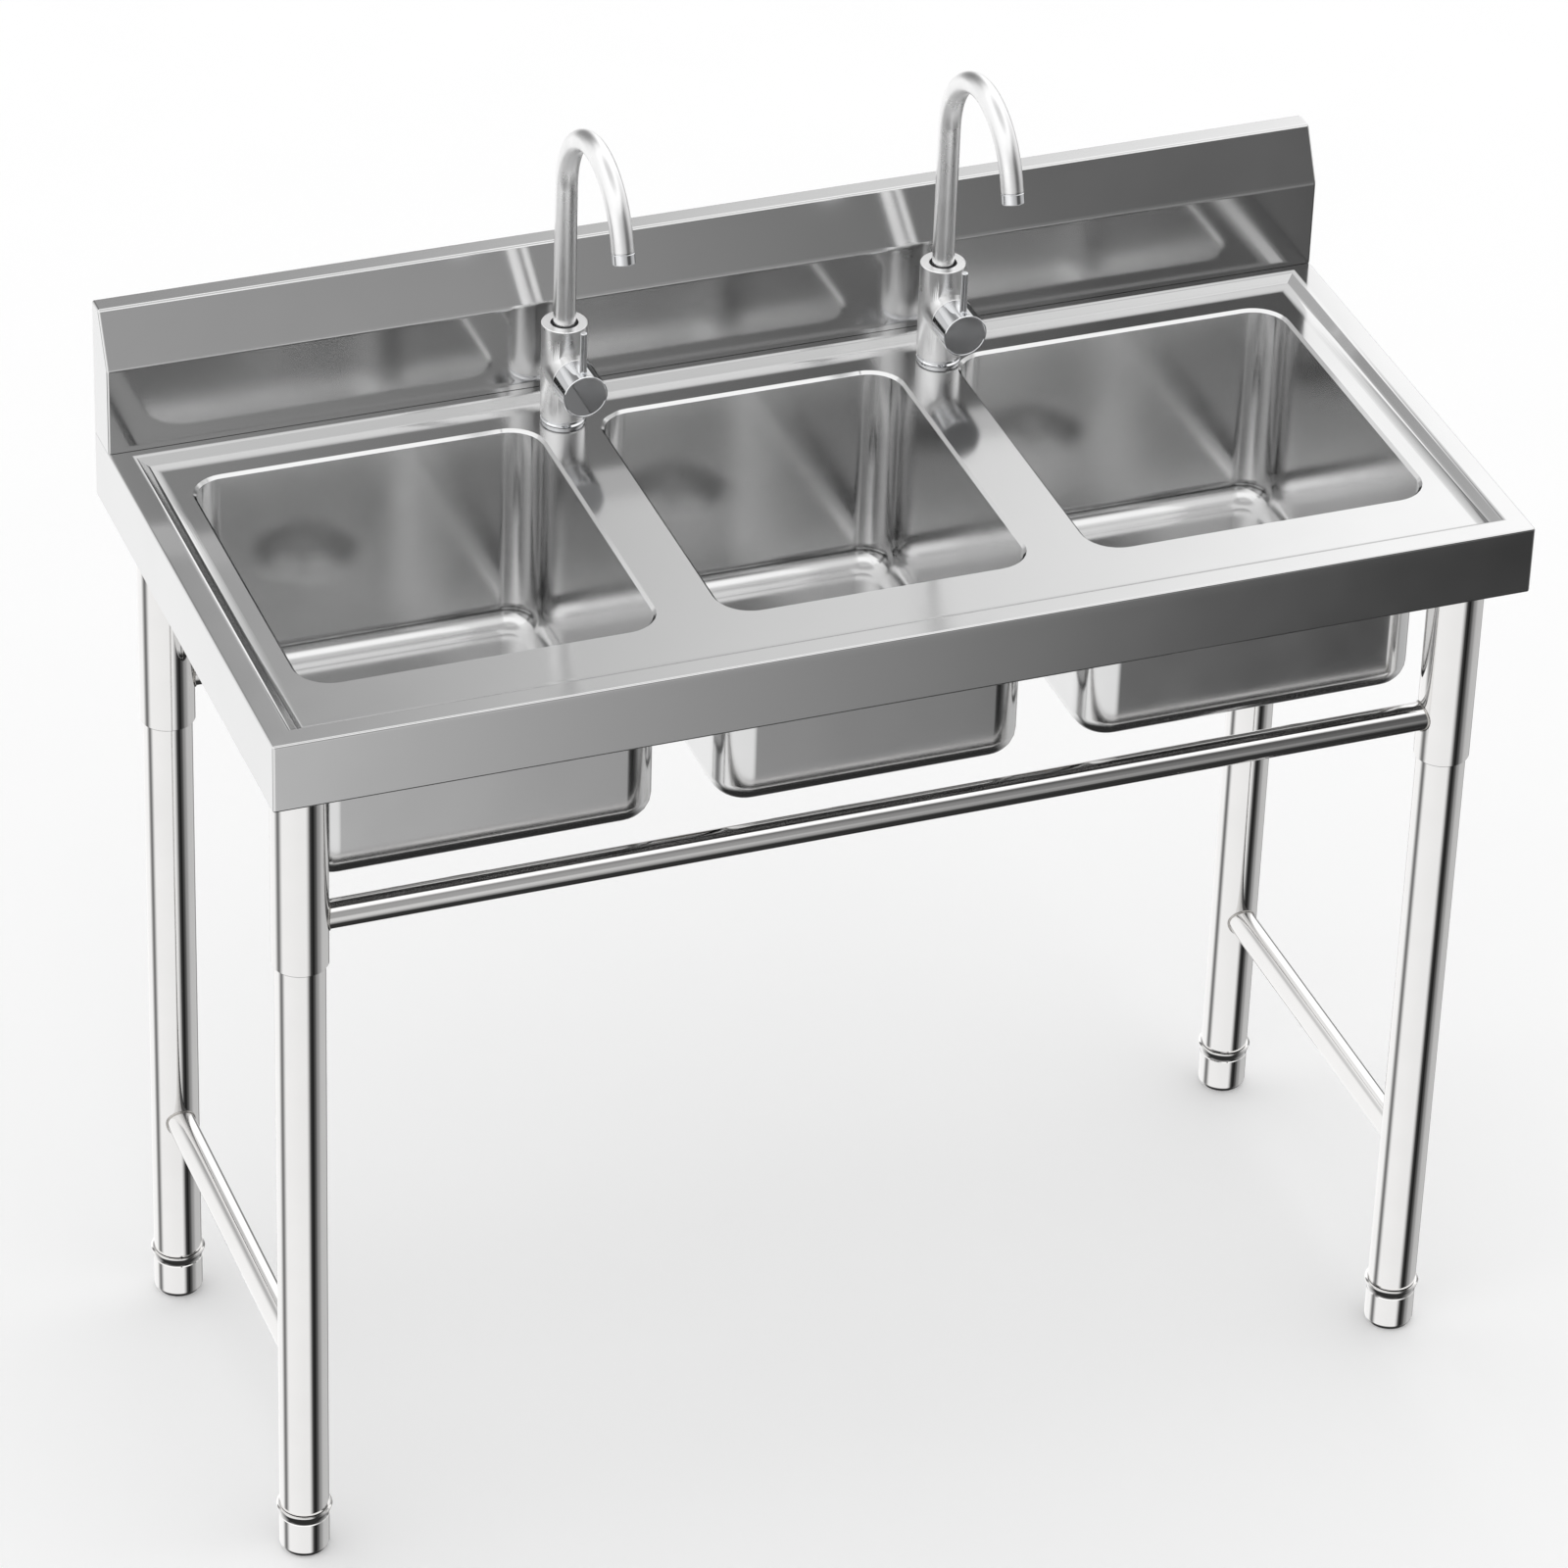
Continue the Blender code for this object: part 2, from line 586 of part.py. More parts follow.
def valve(side, x):
    """The quarter-turn cartridge in the boss, the hollow handle that turns on it, and the pin lever."""
    to_front = (pi / 2, 0, 0)
    at_handle = (x, FAUCET_Y, HANDLE_Z)
    cartridge = [
        (0, SPINDLE_REACH),
        (SPINDLE_RADIUS, SPINDLE_REACH),
        (SPINDLE_RADIUS, SPINDLE_START),
        (CARTRIDGE_RADIUS, SPINDLE_START),
        (CARTRIDGE_RADIUS, CARTRIDGE_START),
        (0, CARTRIDGE_START),
    ]
    turned(f"{side}_valve_cartridge", cartridge, CERAMIC, at_handle, to_front, SMALL_STEPS)
    start = BOSS_REACH + GAP
    handle_profile = [
        (0, HANDLE_REACH),
        (HANDLE_RADIUS - HANDLE_CHAMFER, HANDLE_REACH),
        (HANDLE_RADIUS, HANDLE_REACH - HANDLE_CHAMFER),
        (HANDLE_RADIUS, start),
        (HANDLE_BORE, start),
        (HANDLE_BORE, HANDLE_BORE_DEPTH),
        (SPINDLE_RADIUS + GAP, HANDLE_BORE_DEPTH),
        (SPINDLE_RADIUS + GAP, SPINDLE_REACH + GAP),
        (0, SPINDLE_REACH + GAP),
    ]
    handle = turned(f"{side}_handle", handle_profile, SATIN, at_handle, to_front)
    at_lever = (x, FAUCET_Y - LEVER_REACH, 0)
    socket_low = HANDLE_Z + LEVER_SOCKET
    above = HANDLE_Z + HANDLE_RADIUS + THROUGH
    bore = LEVER_RADIUS + GAP
    pin_hole = cylinder_cutter(f"{side}_pin_hole", bore, socket_low, above, at_lever, steps=SMALL_STEPS)
    boolean(handle, pin_hole)
    pin_low = socket_low + GAP
    pin = [
        (0, LEVER_TOP),
        (LEVER_RADIUS - LEVER_CHAMFER, LEVER_TOP),
        (LEVER_RADIUS, LEVER_TOP - LEVER_CHAMFER),
        (LEVER_RADIUS, pin_low),
        (0, pin_low),
    ]
    turned(f"{side}_lever", pin, CHROME, at_lever, steps=SMALL_STEPS)


def spout_centreline(tip):
    """Points of the gooseneck in its own plane, each (reach towards the front, height)."""
    points = [(0, SPOUT_SEAT + GAP), (0, ARC_Z)]
    for step in range(1, ARC_STEPS + 1):
        angle = ARC_SWEEP * step / ARC_STEPS
        points.append((ARC_RADIUS * (1 - cos(angle)), ARC_Z + ARC_RADIUS * sin(angle)))
    reach, height = points[-1]
    points.append((reach + tip * sin(ARC_SWEEP), height + tip * cos(ARC_SWEEP)))
    return points


def spout(side, x):
    path = bpy.data.curves.new(f"{side}_spout_path", "CURVE")
    path.dimensions = "3D"
    path.bevel_depth = SPOUT_RADIUS
    path.bevel_resolution = 2
    path.use_fill_caps = False
    line = path.splines.new("POLY")
    centreline = spout_centreline(SPOUT_TIP)
    line.points.add(len(centreline) - 1)
    for point, (reach, height) in zip(line.points, centreline):
        point.co = (0, -reach, height, 1)
    guide = bpy.data.objects.new(f"{side}_spout_path", path)
    CUTTERS.objects.link(guide)
    graph = bpy.context.evaluated_depsgraph_get()
    mesh = bpy.data.meshes.new_from_object(guide.evaluated_get(graph))
    bpy.data.objects.remove(guide)
    piece = mesh_object(f"{side}_spout", mesh, SATIN, (x, FAUCET_Y, 0))
    smooth(piece)
    wall = piece.modifiers.new("wall", "SOLIDIFY")
    wall.thickness = SPOUT_WALL
    wall.offset = -1
    wall.use_even_offset = True
    reach, height = centreline[-1]
    direction = Vector((0, -sin(ARC_SWEEP), cos(ARC_SWEEP)))
    place = Vector((x, FAUCET_Y - reach, height)) + direction * GAP
    turn = direction.to_track_quat("Z", "Y").to_euler()
    screen = AERATOR_LENGTH / 2
    aerator = [
        (0, screen + AERATOR_SCREEN),
        (AERATOR_MOUTH, screen + AERATOR_SCREEN),
        (AERATOR_MOUTH, AERATOR_LENGTH),
        (SPOUT_RADIUS - AERATOR_CHAMFER, AERATOR_LENGTH),
        (SPOUT_RADIUS, AERATOR_LENGTH - AERATOR_CHAMFER),
        (SPOUT_RADIUS, 0),
        (AERATOR_BORE, 0),
        (AERATOR_BORE, screen),
        (0, screen),
    ]
    turned(f"{side}_aerator", aerator, CHROME, place, turn, SMALL_STEPS)
    seal_low = SPOUT_SEAT + SEAL_START
    seal_top = FAUCET_TOP - SEAL_TOP_GAP
    at_faucet = (x, FAUCET_Y, 0)
    ring(f"{side}_spout_seal", SPOUT_RADIUS + GAP, SPOUT_BORE - GAP, seal_low, seal_top, RUBBER, at_faucet)


worktop()
backsplash()
for bowl_side, (bowl_x, bowl_width) in BOWLS.items():
    bowl(bowl_side, bowl_x, bowl_width)
    drain(bowl_side, bowl_x)
for row, leg_y in (("front", LEG_FRONT_Y), ("rear", LEG_REAR_Y)):
    for hand, leg_x in (("left", -LEG_X), ("right", LEG_X)):
        leg(f"{row}_{hand}", leg_x, leg_y)
rail("front_rail", LEG_FRONT_Y)
rail("rear_rail", LEG_REAR_Y)
stretcher("left_stretcher", -LEG_X)
stretcher("right_stretcher", LEG_X)
for tap_side, tap_x in FAUCETS.items():
    faucet_body(tap_side, tap_x)
    faucet_mounting(tap_side, tap_x)
    valve(tap_side, tap_x)
    spout(tap_side, tap_x)
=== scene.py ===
"""Finish and studio for the three compartment sink, laid out as an add-on and run as a script.

Metres, +Z up, the front faces -Y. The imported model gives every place; the pieces here are its finer twins.
"""

import math

import bmesh
import bpy
from mathutils import Matrix, Vector


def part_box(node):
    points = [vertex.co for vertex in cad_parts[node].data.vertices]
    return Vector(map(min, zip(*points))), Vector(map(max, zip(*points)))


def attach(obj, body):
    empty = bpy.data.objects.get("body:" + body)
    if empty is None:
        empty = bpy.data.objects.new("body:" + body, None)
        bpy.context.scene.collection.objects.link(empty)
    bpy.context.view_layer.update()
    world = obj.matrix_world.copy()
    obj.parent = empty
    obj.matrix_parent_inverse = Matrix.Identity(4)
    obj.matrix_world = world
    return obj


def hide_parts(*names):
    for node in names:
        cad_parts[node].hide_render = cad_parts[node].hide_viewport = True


bl_info = {
    "name": "Three Compartment Sink",
    "version": (1, 0, 0),
    "blender": (4, 5, 0),
    "location": "3D View > Sidebar > Sink",
    "description": "Builds a free-standing steel sink with three bowls, two faucets and a small studio",
    "category": "Add Mesh",
}

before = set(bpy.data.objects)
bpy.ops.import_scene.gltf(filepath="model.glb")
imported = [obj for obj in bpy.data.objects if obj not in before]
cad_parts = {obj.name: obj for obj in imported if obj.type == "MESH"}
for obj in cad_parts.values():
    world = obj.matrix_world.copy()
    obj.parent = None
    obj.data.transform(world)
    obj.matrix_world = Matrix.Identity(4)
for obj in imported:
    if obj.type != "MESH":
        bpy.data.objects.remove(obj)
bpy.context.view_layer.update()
BOWLS = ("left", "middle", "right")
FAUCETS = ("left", "right")
CORNERS = ("front_left", "front_right", "rear_left", "rear_right")
DECK_LOW, DECK_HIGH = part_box("worktop_deck")
SPLASH_LOW, SPLASH_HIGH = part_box("backsplash")
BOWL_LOW, BOWL_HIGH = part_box("middle_bowl")

# Closer than this, two heights are the same.
NEAR = 0.0001
# Two faces that meet at more than this angle make a fold.
CREASE = math.radians(18)
# Faces steeper or flatter than this, by the Z of their normal, look straight up or down.
LEVEL = 0.9
CORNER_STEPS = 8

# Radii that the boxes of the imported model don't give.
TAP_HOLE = 0.0105
DRAIN_HOLE = 0.0440
CUP = 0.0425
OUTLET = 0.0190
DRAIN_WALL = 0.0012
COLLAR_BORE = 0.0428
GASKET = 0.0540
LOCKNUT = 0.0500
SOCKET = 0.0218
SOCKET_BORE = 0.0199
LEG = 0.0194
STEM = 0.0080
INSERT_BORE = 0.0083
SHANK = 0.0090
SHANK_BORE = 0.0060
NUT_BORE = 0.0093
WASHER = 0.0140
RING_BORE = 0.0098
HANDLE_BORE = 0.0150
VALVE_BORE = 0.0125
SEAL = 0.0105

# Other sizes.
POCKET = 0.0120
CUTTER_OVER = 0.0100
SPLASH_BEND = 0.0024
GAP = 0.0003
LUGS = 12
DRILL = 0.0022
DRILL_RINGS = ((8, 0.0130), (14, 0.0200), (20, 0.0275))
THREAD_PITCH = 0.0013
THREAD_DEPTH = 0.0006
SPOUT_WALL = 0.0010

# The studio: each pair is where a light blends in, by the Z of the direction, and each glow is a brightness.
FLOOR_SIZE = 30
FLOOR_PATCH = 1 / 6
HORIZON = (-0.18, -0.02)
ROOF = (0.57, 0.72)
OVERHEAD = (0.89, 0.95)
PIT = (-0.68, -0.88)
ROOF_GLOW = 1.30
OVERHEAD_GLOW = 0.72
PIT_GLOW = 0.035
ROOM_GLOW = 1.04
CAMERA_PLACE = (-1.768, -4.474, 3.693)
CAMERA_TURN, CAMERA_TIP, CAMERA_ROLL = math.radians(21.41), math.radians(33.53), math.radians(2.05)
SENSOR, LENS = 36, 169.1


def linear(colour):
    """Linear red, green and blue of an sRGB hex colour."""
    parts = [int(colour[at : at + 2], 16) / 255 for at in (1, 3, 5)]
    return tuple(part / 12.92 if part <= 0.04045 else ((part + 0.055) / 1.055) ** 2.4 for part in parts)


def length(name, description, default):
    return bpy.props.FloatProperty(
        name=name, description=description, default=default, min=0.0, unit="LENGTH", subtype="DISTANCE"
    )


def colour(name, description, default):
    return bpy.props.FloatVectorProperty(
        name=name, description=description, default=linear(default), min=0.0, max=1.0, subtype="COLOR"
    )


class SinkSheetSizes(bpy.types.PropertyGroup):
    sheet: length("Sheet", "Thickness of the worktop and backsplash sheet", 0.0012)
    recess_depth: length("Recess depth", "How far the pan lies below the rim", 0.0074)
    recess_run: length("Recess run", "Width of the sloping wall of the recess at the sides and rear", 0.0118)
    front_run: length("Front run", "Width of the steeper wall of the recess at the front", 0.0060)
    rim_side: length("Side rim", "Width of the flat rim at each end", 0.0182)
    rim_front: length("Front rim", "Width of the flat rim along the front", 0.0197)
    rim_rear: length("Rear rim", "Width of the rim in front of the backsplash", 0.0080)
    fold: length("Fold radius", "Radius of the outer folds and of the top of the recess wall", 0.0020)
    foot: length("Recess foot", "Length of the round between the recess wall and the pan", 0.0058)
    roll: length("Opening edge", "Width of the pressed edge round each opening", 0.0024)
    lip: length("Lip", "Height of the turned-down lip round each opening", 0.0032)
    hem: length("Hem", "Width of the hem turned in under the apron", 0.0090)
    splash_bend: length("Bend height", "Height of the bend of the backsplash over the rim", 0.0735)
    splash_setback: length("Setback", "How far the top of the backsplash leans back", 0.0215)


class SinkBowlSizes(bpy.types.PropertyGroup):
    corner: length("Corner radius", "Radius of the upright corners of a bowl", 0.0265)
    foot: length("Foot radius", "Radius between the walls and the floor of a bowl", 0.0180)
    sheet: length("Sheet", "Thickness of the drawn bowl", 0.0010)
    flange: length("Flange", "Reach of the flange beyond the wall, sheet included", 0.0060)
    setback: length("Wall setback", "How far the wall stands back under the lip", 0.0006)


class SinkTubeSizes(bpy.types.PropertyGroup):
    wall: length("Wall", "Wall of the leg and rail tubes", 0.0012)
    bead: length("Weld bead", "Radius of the weld bead where a rail meets a leg", 0.0011)


class SinkFaucetSizes(bpy.types.PropertyGroup):
    arc_radius: length("Arc radius", "Radius of the middle line of the gooseneck", 0.0650)
    arc_height: length("Arc height", "Height of the arc's centre over the floor", 0.9810)
    sweep: bpy.props.FloatProperty(
        name="Sweep",
        description="Angle through which the gooseneck turns", default=math.radians(162), subtype="ANGLE"
    )
    tip: length("Tip", "Straight length after the arc", 0.0080)


class SinkColours(bpy.types.PropertyGroup):
    sheet: colour("Sheet steel", "Colour of the worktop and backsplash", "#DEDEDE")
    bowl: colour("Bowl steel", "Colour of the drawn bowls", "#DEDEDE")
    tube: colour("Tube steel", "Colour of the legs and rails", "#ECEBEA")
    faucet: colour("Faucet", "Colour of the faucets", "#F2F2F2")
    floor: colour("Floor", "Colour of the studio floor", "#FCFCFC")


def tidy_selection():
    if bpy.context.mode != "OBJECT":
        bpy.ops.object.mode_set(mode="OBJECT")
    bpy.ops.object.select_all(action="DESELECT")


def activate(obj):
    tidy_selection()
    bpy.context.view_layer.objects.active = obj
    obj.select_set(True)


def settle():
    """Applies the selected object's place, turn and size to its mesh."""
    bpy.ops.object.transform_apply(location=True, rotation=True, scale=True)


def open_edit(obj):
    activate(obj)
    bpy.ops.object.mode_set(mode="EDIT")
    bpy.ops.mesh.select_mode(type="VERT")
    bpy.ops.mesh.select_all(action="DESELECT")


def close_edit():
    bpy.ops.object.mode_set(mode="OBJECT")


def pick(obj, kind, test):
    """In edit mode, selects just the faces, edges or verts that pass the test, and returns how many."""
    bpy.ops.mesh.select_mode(type=kind[:-1].upper())
    bpy.ops.mesh.select_all(action="DESELECT")
    mesh = bmesh.from_edit_mesh(obj.data)
    mesh.normal_update()
    found = [element for element in getattr(mesh, kind) if test(element)]
    for element in found:
        element.select_set(True)
    mesh.select_flush_mode()
    bmesh.update_edit_mesh(obj.data)
    return len(found)


def extrude(move):
    bpy.ops.mesh.extrude_region_move(TRANSFORM_OT_translate={"value": move})


def round_edges(obj, test, size, segments, **settings):
    """In edit mode, bevels the edges that pass the test."""
    pick(obj, "edges", test)
    bpy.ops.mesh.bevel(offset=size, segments=segments, profile=0.5, affect="EDGES", **settings)


def level(edge, height):
    return all(abs(vert.co.z - height) < NEAR for vert in edge.verts)


def centre_of(node, height=0):
    """The middle of a node's box in plan, at the height given."""
    low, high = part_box(node)
    return Vector(((low.x + high.x) / 2, (low.y + high.y) / 2, height))


def block(name, low, high):
    low, high = Vector(low), Vector(high)
    tidy_selection()
    bpy.ops.mesh.primitive_cube_add(size=1, location=(low + high) / 2)
    obj = bpy.context.object
    obj.name = name
    obj.scale = high - low
    settle()
    return obj


def rod(name, radius, start, end, sides=64):
    start, end = Vector(start), Vector(end)
    run = end - start
    tidy_selection()
    bpy.ops.mesh.primitive_cylinder_add(
        vertices=sides,
        radius=radius,
        depth=run.length,
        location=(start + end) / 2,
        rotation=run.to_track_quat("Z", "Y").to_euler(),
    )
    obj = bpy.context.object
    obj.name = name
    settle()
    return obj


def apply(obj, kind, **settings):
    """Adds a modifier with its settings and applies it."""
    activate(obj)
    made = obj.modifiers.new(kind.lower(), kind)
    for name, value in settings.items():
        setattr(made, name, value)
    bpy.ops.object.modifier_apply(modifier=made.name)


def cut(obj, tool, operation="DIFFERENCE"):
    apply(obj, "BOOLEAN", operation=operation, solver="EXACT", object=tool)
    bpy.data.objects.remove(tool)


def soften(obj, radius, angle=35, segments=3):
    """Rounds every edge sharper than the angle, in degrees."""
    apply(
        obj,
        "BEVEL",
        width=radius,
        segments=segments,
        limit_method="ANGLE",
        angle_limit=math.radians(angle),
        use_clamp_overlap=True,
        miter_outer="MITER_ARC",
    )


def smooth(obj, angle=40):
    activate(obj)
    bpy.ops.object.shade_smooth_by_angle(angle=math.radians(angle))
    apply(obj, "WEIGHTED_NORMAL", mode="FACE_AREA", weight=80, keep_sharp=True)


def lathe(name, rings, place=(0, 0, 0), closed=False, turn=(0, 0, 0), steps=72, edge=0.0):
    """A turned piece: a circle drawn out and resized through each (radius, height), then set in its place.

    A closed piece has a ring for its section; any other keeps a flat disc at both ends.
    """
    radius, height = rings[0]
    tidy_selection()
    fill = "NOTHING" if closed else "NGON"
    bpy.ops.mesh.primitive_circle_add(vertices=steps, radius=radius, fill_type=fill)
    obj = bpy.context.object
    obj.name = name
    open_edit(obj)
    bpy.ops.mesh.select_all(action="SELECT")
    bpy.ops.transform.translate(value=(0, 0, height))
    for next_radius, next_height in rings[1:] + (rings[:1] if closed else []):
        extrude((0, 0, next_height - height))
        scale = next_radius / radius
        bpy.ops.transform.resize(value=(scale, scale, 1), center_override=(0, 0, next_height))
        radius, height = next_radius, next_height
    bpy.ops.mesh.select_all(action="SELECT")
    if closed:
        bpy.ops.mesh.remove_doubles(threshold=0.000002)
    bpy.ops.mesh.normals_make_consistent(inside=False)
    close_edit()
    obj.rotation_euler = turn
    obj.location = place
    settle()
    if edge:
        soften(obj, edge)
    smooth(obj)
    return obj


def band(inner, outer, low, high):
    """The section of a plain ring, for a closed lathe."""
    return [(inner, low), (outer, low), (outer, high), (inner, high)]


def copy_of(obj, name, move):
    activate(obj)
    bpy.ops.object.duplicate(linked=False)
    made = bpy.context.object
    made.name = name
    made.location = move
    settle()
    return made


def join(name, pieces):
    activate(pieces[0])
    for piece in pieces[1:]:
        piece.select_set(True)
    bpy.ops.object.join()
    made = bpy.context.object
    made.name = name
    return made


def hand_over(obj, body, finish, slot, *nodes):
    """Gives the piece its finish, hangs it on the body that carries it, and hides the CAD nodes it stands for.
    """
    obj.data.materials.clear()
    obj.data.materials.append(FINISHES[finish])
    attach(obj, body)
    if nodes:
        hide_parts(*nodes)


def add(tree, kind, sockets=None, **settings):
    """Adds a node, sets its properties, and gives each socket, by name or number, a value or a link."""
    made = tree.nodes.new("ShaderNode" + kind)
    for name, value in settings.items():
        setattr(made, name, value)
    for name, value in (sockets or {}).items():
        if isinstance(value, bpy.types.NodeSocket):
            tree.links.new(value, made.inputs[name])
        else:
            made.inputs[name].default_value = value
    return made


def new_material(name):
    made = bpy.data.materials.new(name)
    made.use_nodes = True
    made.node_tree.nodes.clear()
    return made, made.node_tree


def mottled(tree, size, detail, grit, tints, gloss):
    """Patches that move the colour and the roughness between two values each.

    Returns the place on the object, the strength of the patches, and what they give a shader.
    """
    place = add(tree, "TexCoord").outputs["Object"]
    grain = {"Vector": place, "Scale": 1 / size, "Detail": detail, "Roughness": grit}
    patches = add(tree, "TexNoise", grain).outputs["Fac"]
    span = {"From Min": 0.3, "From Max": 0.7, "To Min": gloss[0], "To Max": gloss[1]}
    rough = add(tree, "MapRange", {"Value": patches, **span})
    tones = {6: (*tints[0], 1), 7: (*tints[1], 1)}
    shade = add(tree, "Mix", {"Factor": patches, **tones}, data_type="RGBA")
    return place, patches, {"Base Color": shade.outputs[2], "Roughness": rough.outputs["Result"]}


def finish_material(tree, sockets):
    shader = add(tree, "BsdfPrincipled", sockets)
    add(tree, "OutputMaterial", {"Surface": shader.outputs["BSDF"]})


def worked_metal(name, tint, gloss, smear, grain, grain_depth, swell=None):
    """A metal with a worked surface.

    gloss is the lowest and highest roughness, smear the size of their patches, and grain the size of one
    scratch along X, Y and Z, all sizes in metres. swell is the width and depth of a sheet's unevenness.
    """
    made, tree = new_material(name)
    darker = tuple(part * 0.93 for part in tint)
    place, _, looks = mottled(tree, smear, 3.0, 0.55, (tint, darker), gloss)
    stretch = add(tree, "Mapping", {"Vector": place, "Scale": tuple(1 / size for size in grain)})
    scratches = {"Vector": stretch.outputs["Vector"], "Scale": 1.0, "Detail": 2.0, "Roughness": 0.6}
    lines = add(tree, "TexNoise", scratches)
    relief = {"Height": lines.outputs["Fac"], "Distance": grain_depth, "Strength": 1.0}
    bump = add(tree, "Bump", relief)
    if swell:
        width, depth = swell
        unevenness = {"Vector": place, "Scale": 1 / width, "Detail": 1.0, "Roughness": 0.4}
        waves = add(tree, "TexNoise", unevenness)
        relief = {"Height": waves.outputs["Fac"], "Distance": depth, "Normal": bump.outputs["Normal"]}
        bump = add(tree, "Bump", {**relief, "Strength": 1.0})
    finish_material(tree, {**looks, "Metallic": 1.0, "Normal": bump.outputs["Normal"]})
    return made


def moulded(name, tint, gloss, speck, speck_depth):
    """A moulded rubber or plastic: even colour, slight mottling and a fine skin."""
    made, tree = new_material(name)
    darker = tuple(part * 0.85 for part in tint)
    _, specks, looks = mottled(tree, speck, 4.0, 0.6, (darker, tint), gloss)
    bump = add(tree, "Bump", {"Height": specks, "Distance": speck_depth, "Strength": 1.0})
    finish_material(tree, {**looks, "Normal": bump.outputs["Normal"]})
    return made


FINISHES = {}


def make_finishes(colours):
    """The real finishes, each with the size of its marks in metres."""
    # 304 stainless sheet, mechanically polished: near mirror, with faint lines along the sheet and
    # slight swell.
    FINISHES["sheet"] = worked_metal(
        "stainless_304_polished_sheet", colours.sheet, (0.10, 0.15), 0.12, (0.06, 0.0007, 0.0007), 0.0000010,
        swell=(0.16, 0.00016),
    )
    # 304 stainless, deep drawn and buffed: softer reflections that wander, and finer lines down the walls.
    FINISHES["bowl"] = worked_metal(
        "stainless_304_drawn_and_buffed", colours.bowl, (0.13, 0.19), 0.07, (0.0008, 0.0008, 0.05), 0.0000004,
        swell=(0.11, 0.00025),
    )
    # 201 stainless welded tube, bright annealed: a mirror drawn out along the tube, one finish for each
    # direction.
    fine, drawn = 0.0009, 0.25
    for along, size in (
        ("upright", (fine, fine, drawn)),
        ("long", (drawn, fine, fine)),
        ("deep", (fine, drawn, fine)),
    ):
        FINISHES[f"tube_{along}"] = worked_metal(
            f"stainless_201_bright_tube_{along}", colours.tube, (0.05, 0.08), 0.05, size, 0.0000006
        )
    # Pressed stainless of the drains: polished, with the marks of the press as small patches.
    FINISHES["drain"] = worked_metal(
        "stainless_pressed_drain", colours.bowl, (0.10, 0.22), 0.02, (0.0012, 0.0012, 0.0012), 0.0000020
    )
    # Machined brass with satin nickel: soft wide highlights from fine upright brushing.
    FINISHES["satin"] = worked_metal(
        "brass_satin_nickel_plated", colours.faucet, (0.26, 0.34), 0.02, (0.0004, 0.0004, 0.012), 0.0000030
    )
    # Brass with bright chrome: a clear mirror, a little blue.
    FINISHES["chrome"] = worked_metal(
        "brass_bright_chrome_plated", linear("#E6E7E9"), (0.03, 0.06), 0.02, (0.004, 0.004, 0.004), 0.0000002
    )
    # Bare brass, turned: warm yellow, with the tool's rings as flat scratches.
    FINISHES["brass"] = worked_metal(
        "brass_turned", linear("#C9A35A"), (0.22, 0.34), 0.012, (0.008, 0.008, 0.0006), 0.0000120
    )
    # Electrical weld left as laid: ripples and a dull grey.
    FINISHES["weld"] = worked_metal(
        "stainless_weld_bead", linear("#B9B6B2"), (0.20, 0.34), 0.004, (0.0016, 0.0016, 0.0016), 0.0001200
    )
    # EPDM rubber: near black and matte, with a dusty bloom.
    FINISHES["rubber"] = moulded("rubber_moulded_black", linear("#26272A"), (0.62, 0.78), 0.003, 0.00003)
    # Polypropylene: white, waxy, with a slight mould texture.
    FINISHES["nylon"] = moulded(
        "polypropylene_moulded_white", linear("#E4E4DF"), (0.38, 0.50), 0.002, 0.00002
    )
    # Glass-filled nylon of the cartridge: dark grey and even.
    FINISHES["cartridge"] = moulded(
        "nylon_glass_filled_grey", linear("#4A4D50"), (0.40, 0.52), 0.002, 0.00002
    )


def opening_of(side, bowls):
    """Lowest and highest X and Y of a bowl's opening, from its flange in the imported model."""
    low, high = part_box(f"{side}_bowl")
    inset = bowls.flange
    return low.x + inset, low.y + inset, high.x - inset, high.y - inset


def rounded(name, low, high, radius):
    """A block with round upright edges."""
    obj = block(name, low, high)
    open_edit(obj)
    round_edges(obj, lambda edge: not level(edge, edge.verts[0].co.z), radius, CORNER_STEPS)
    close_edit()
    return obj


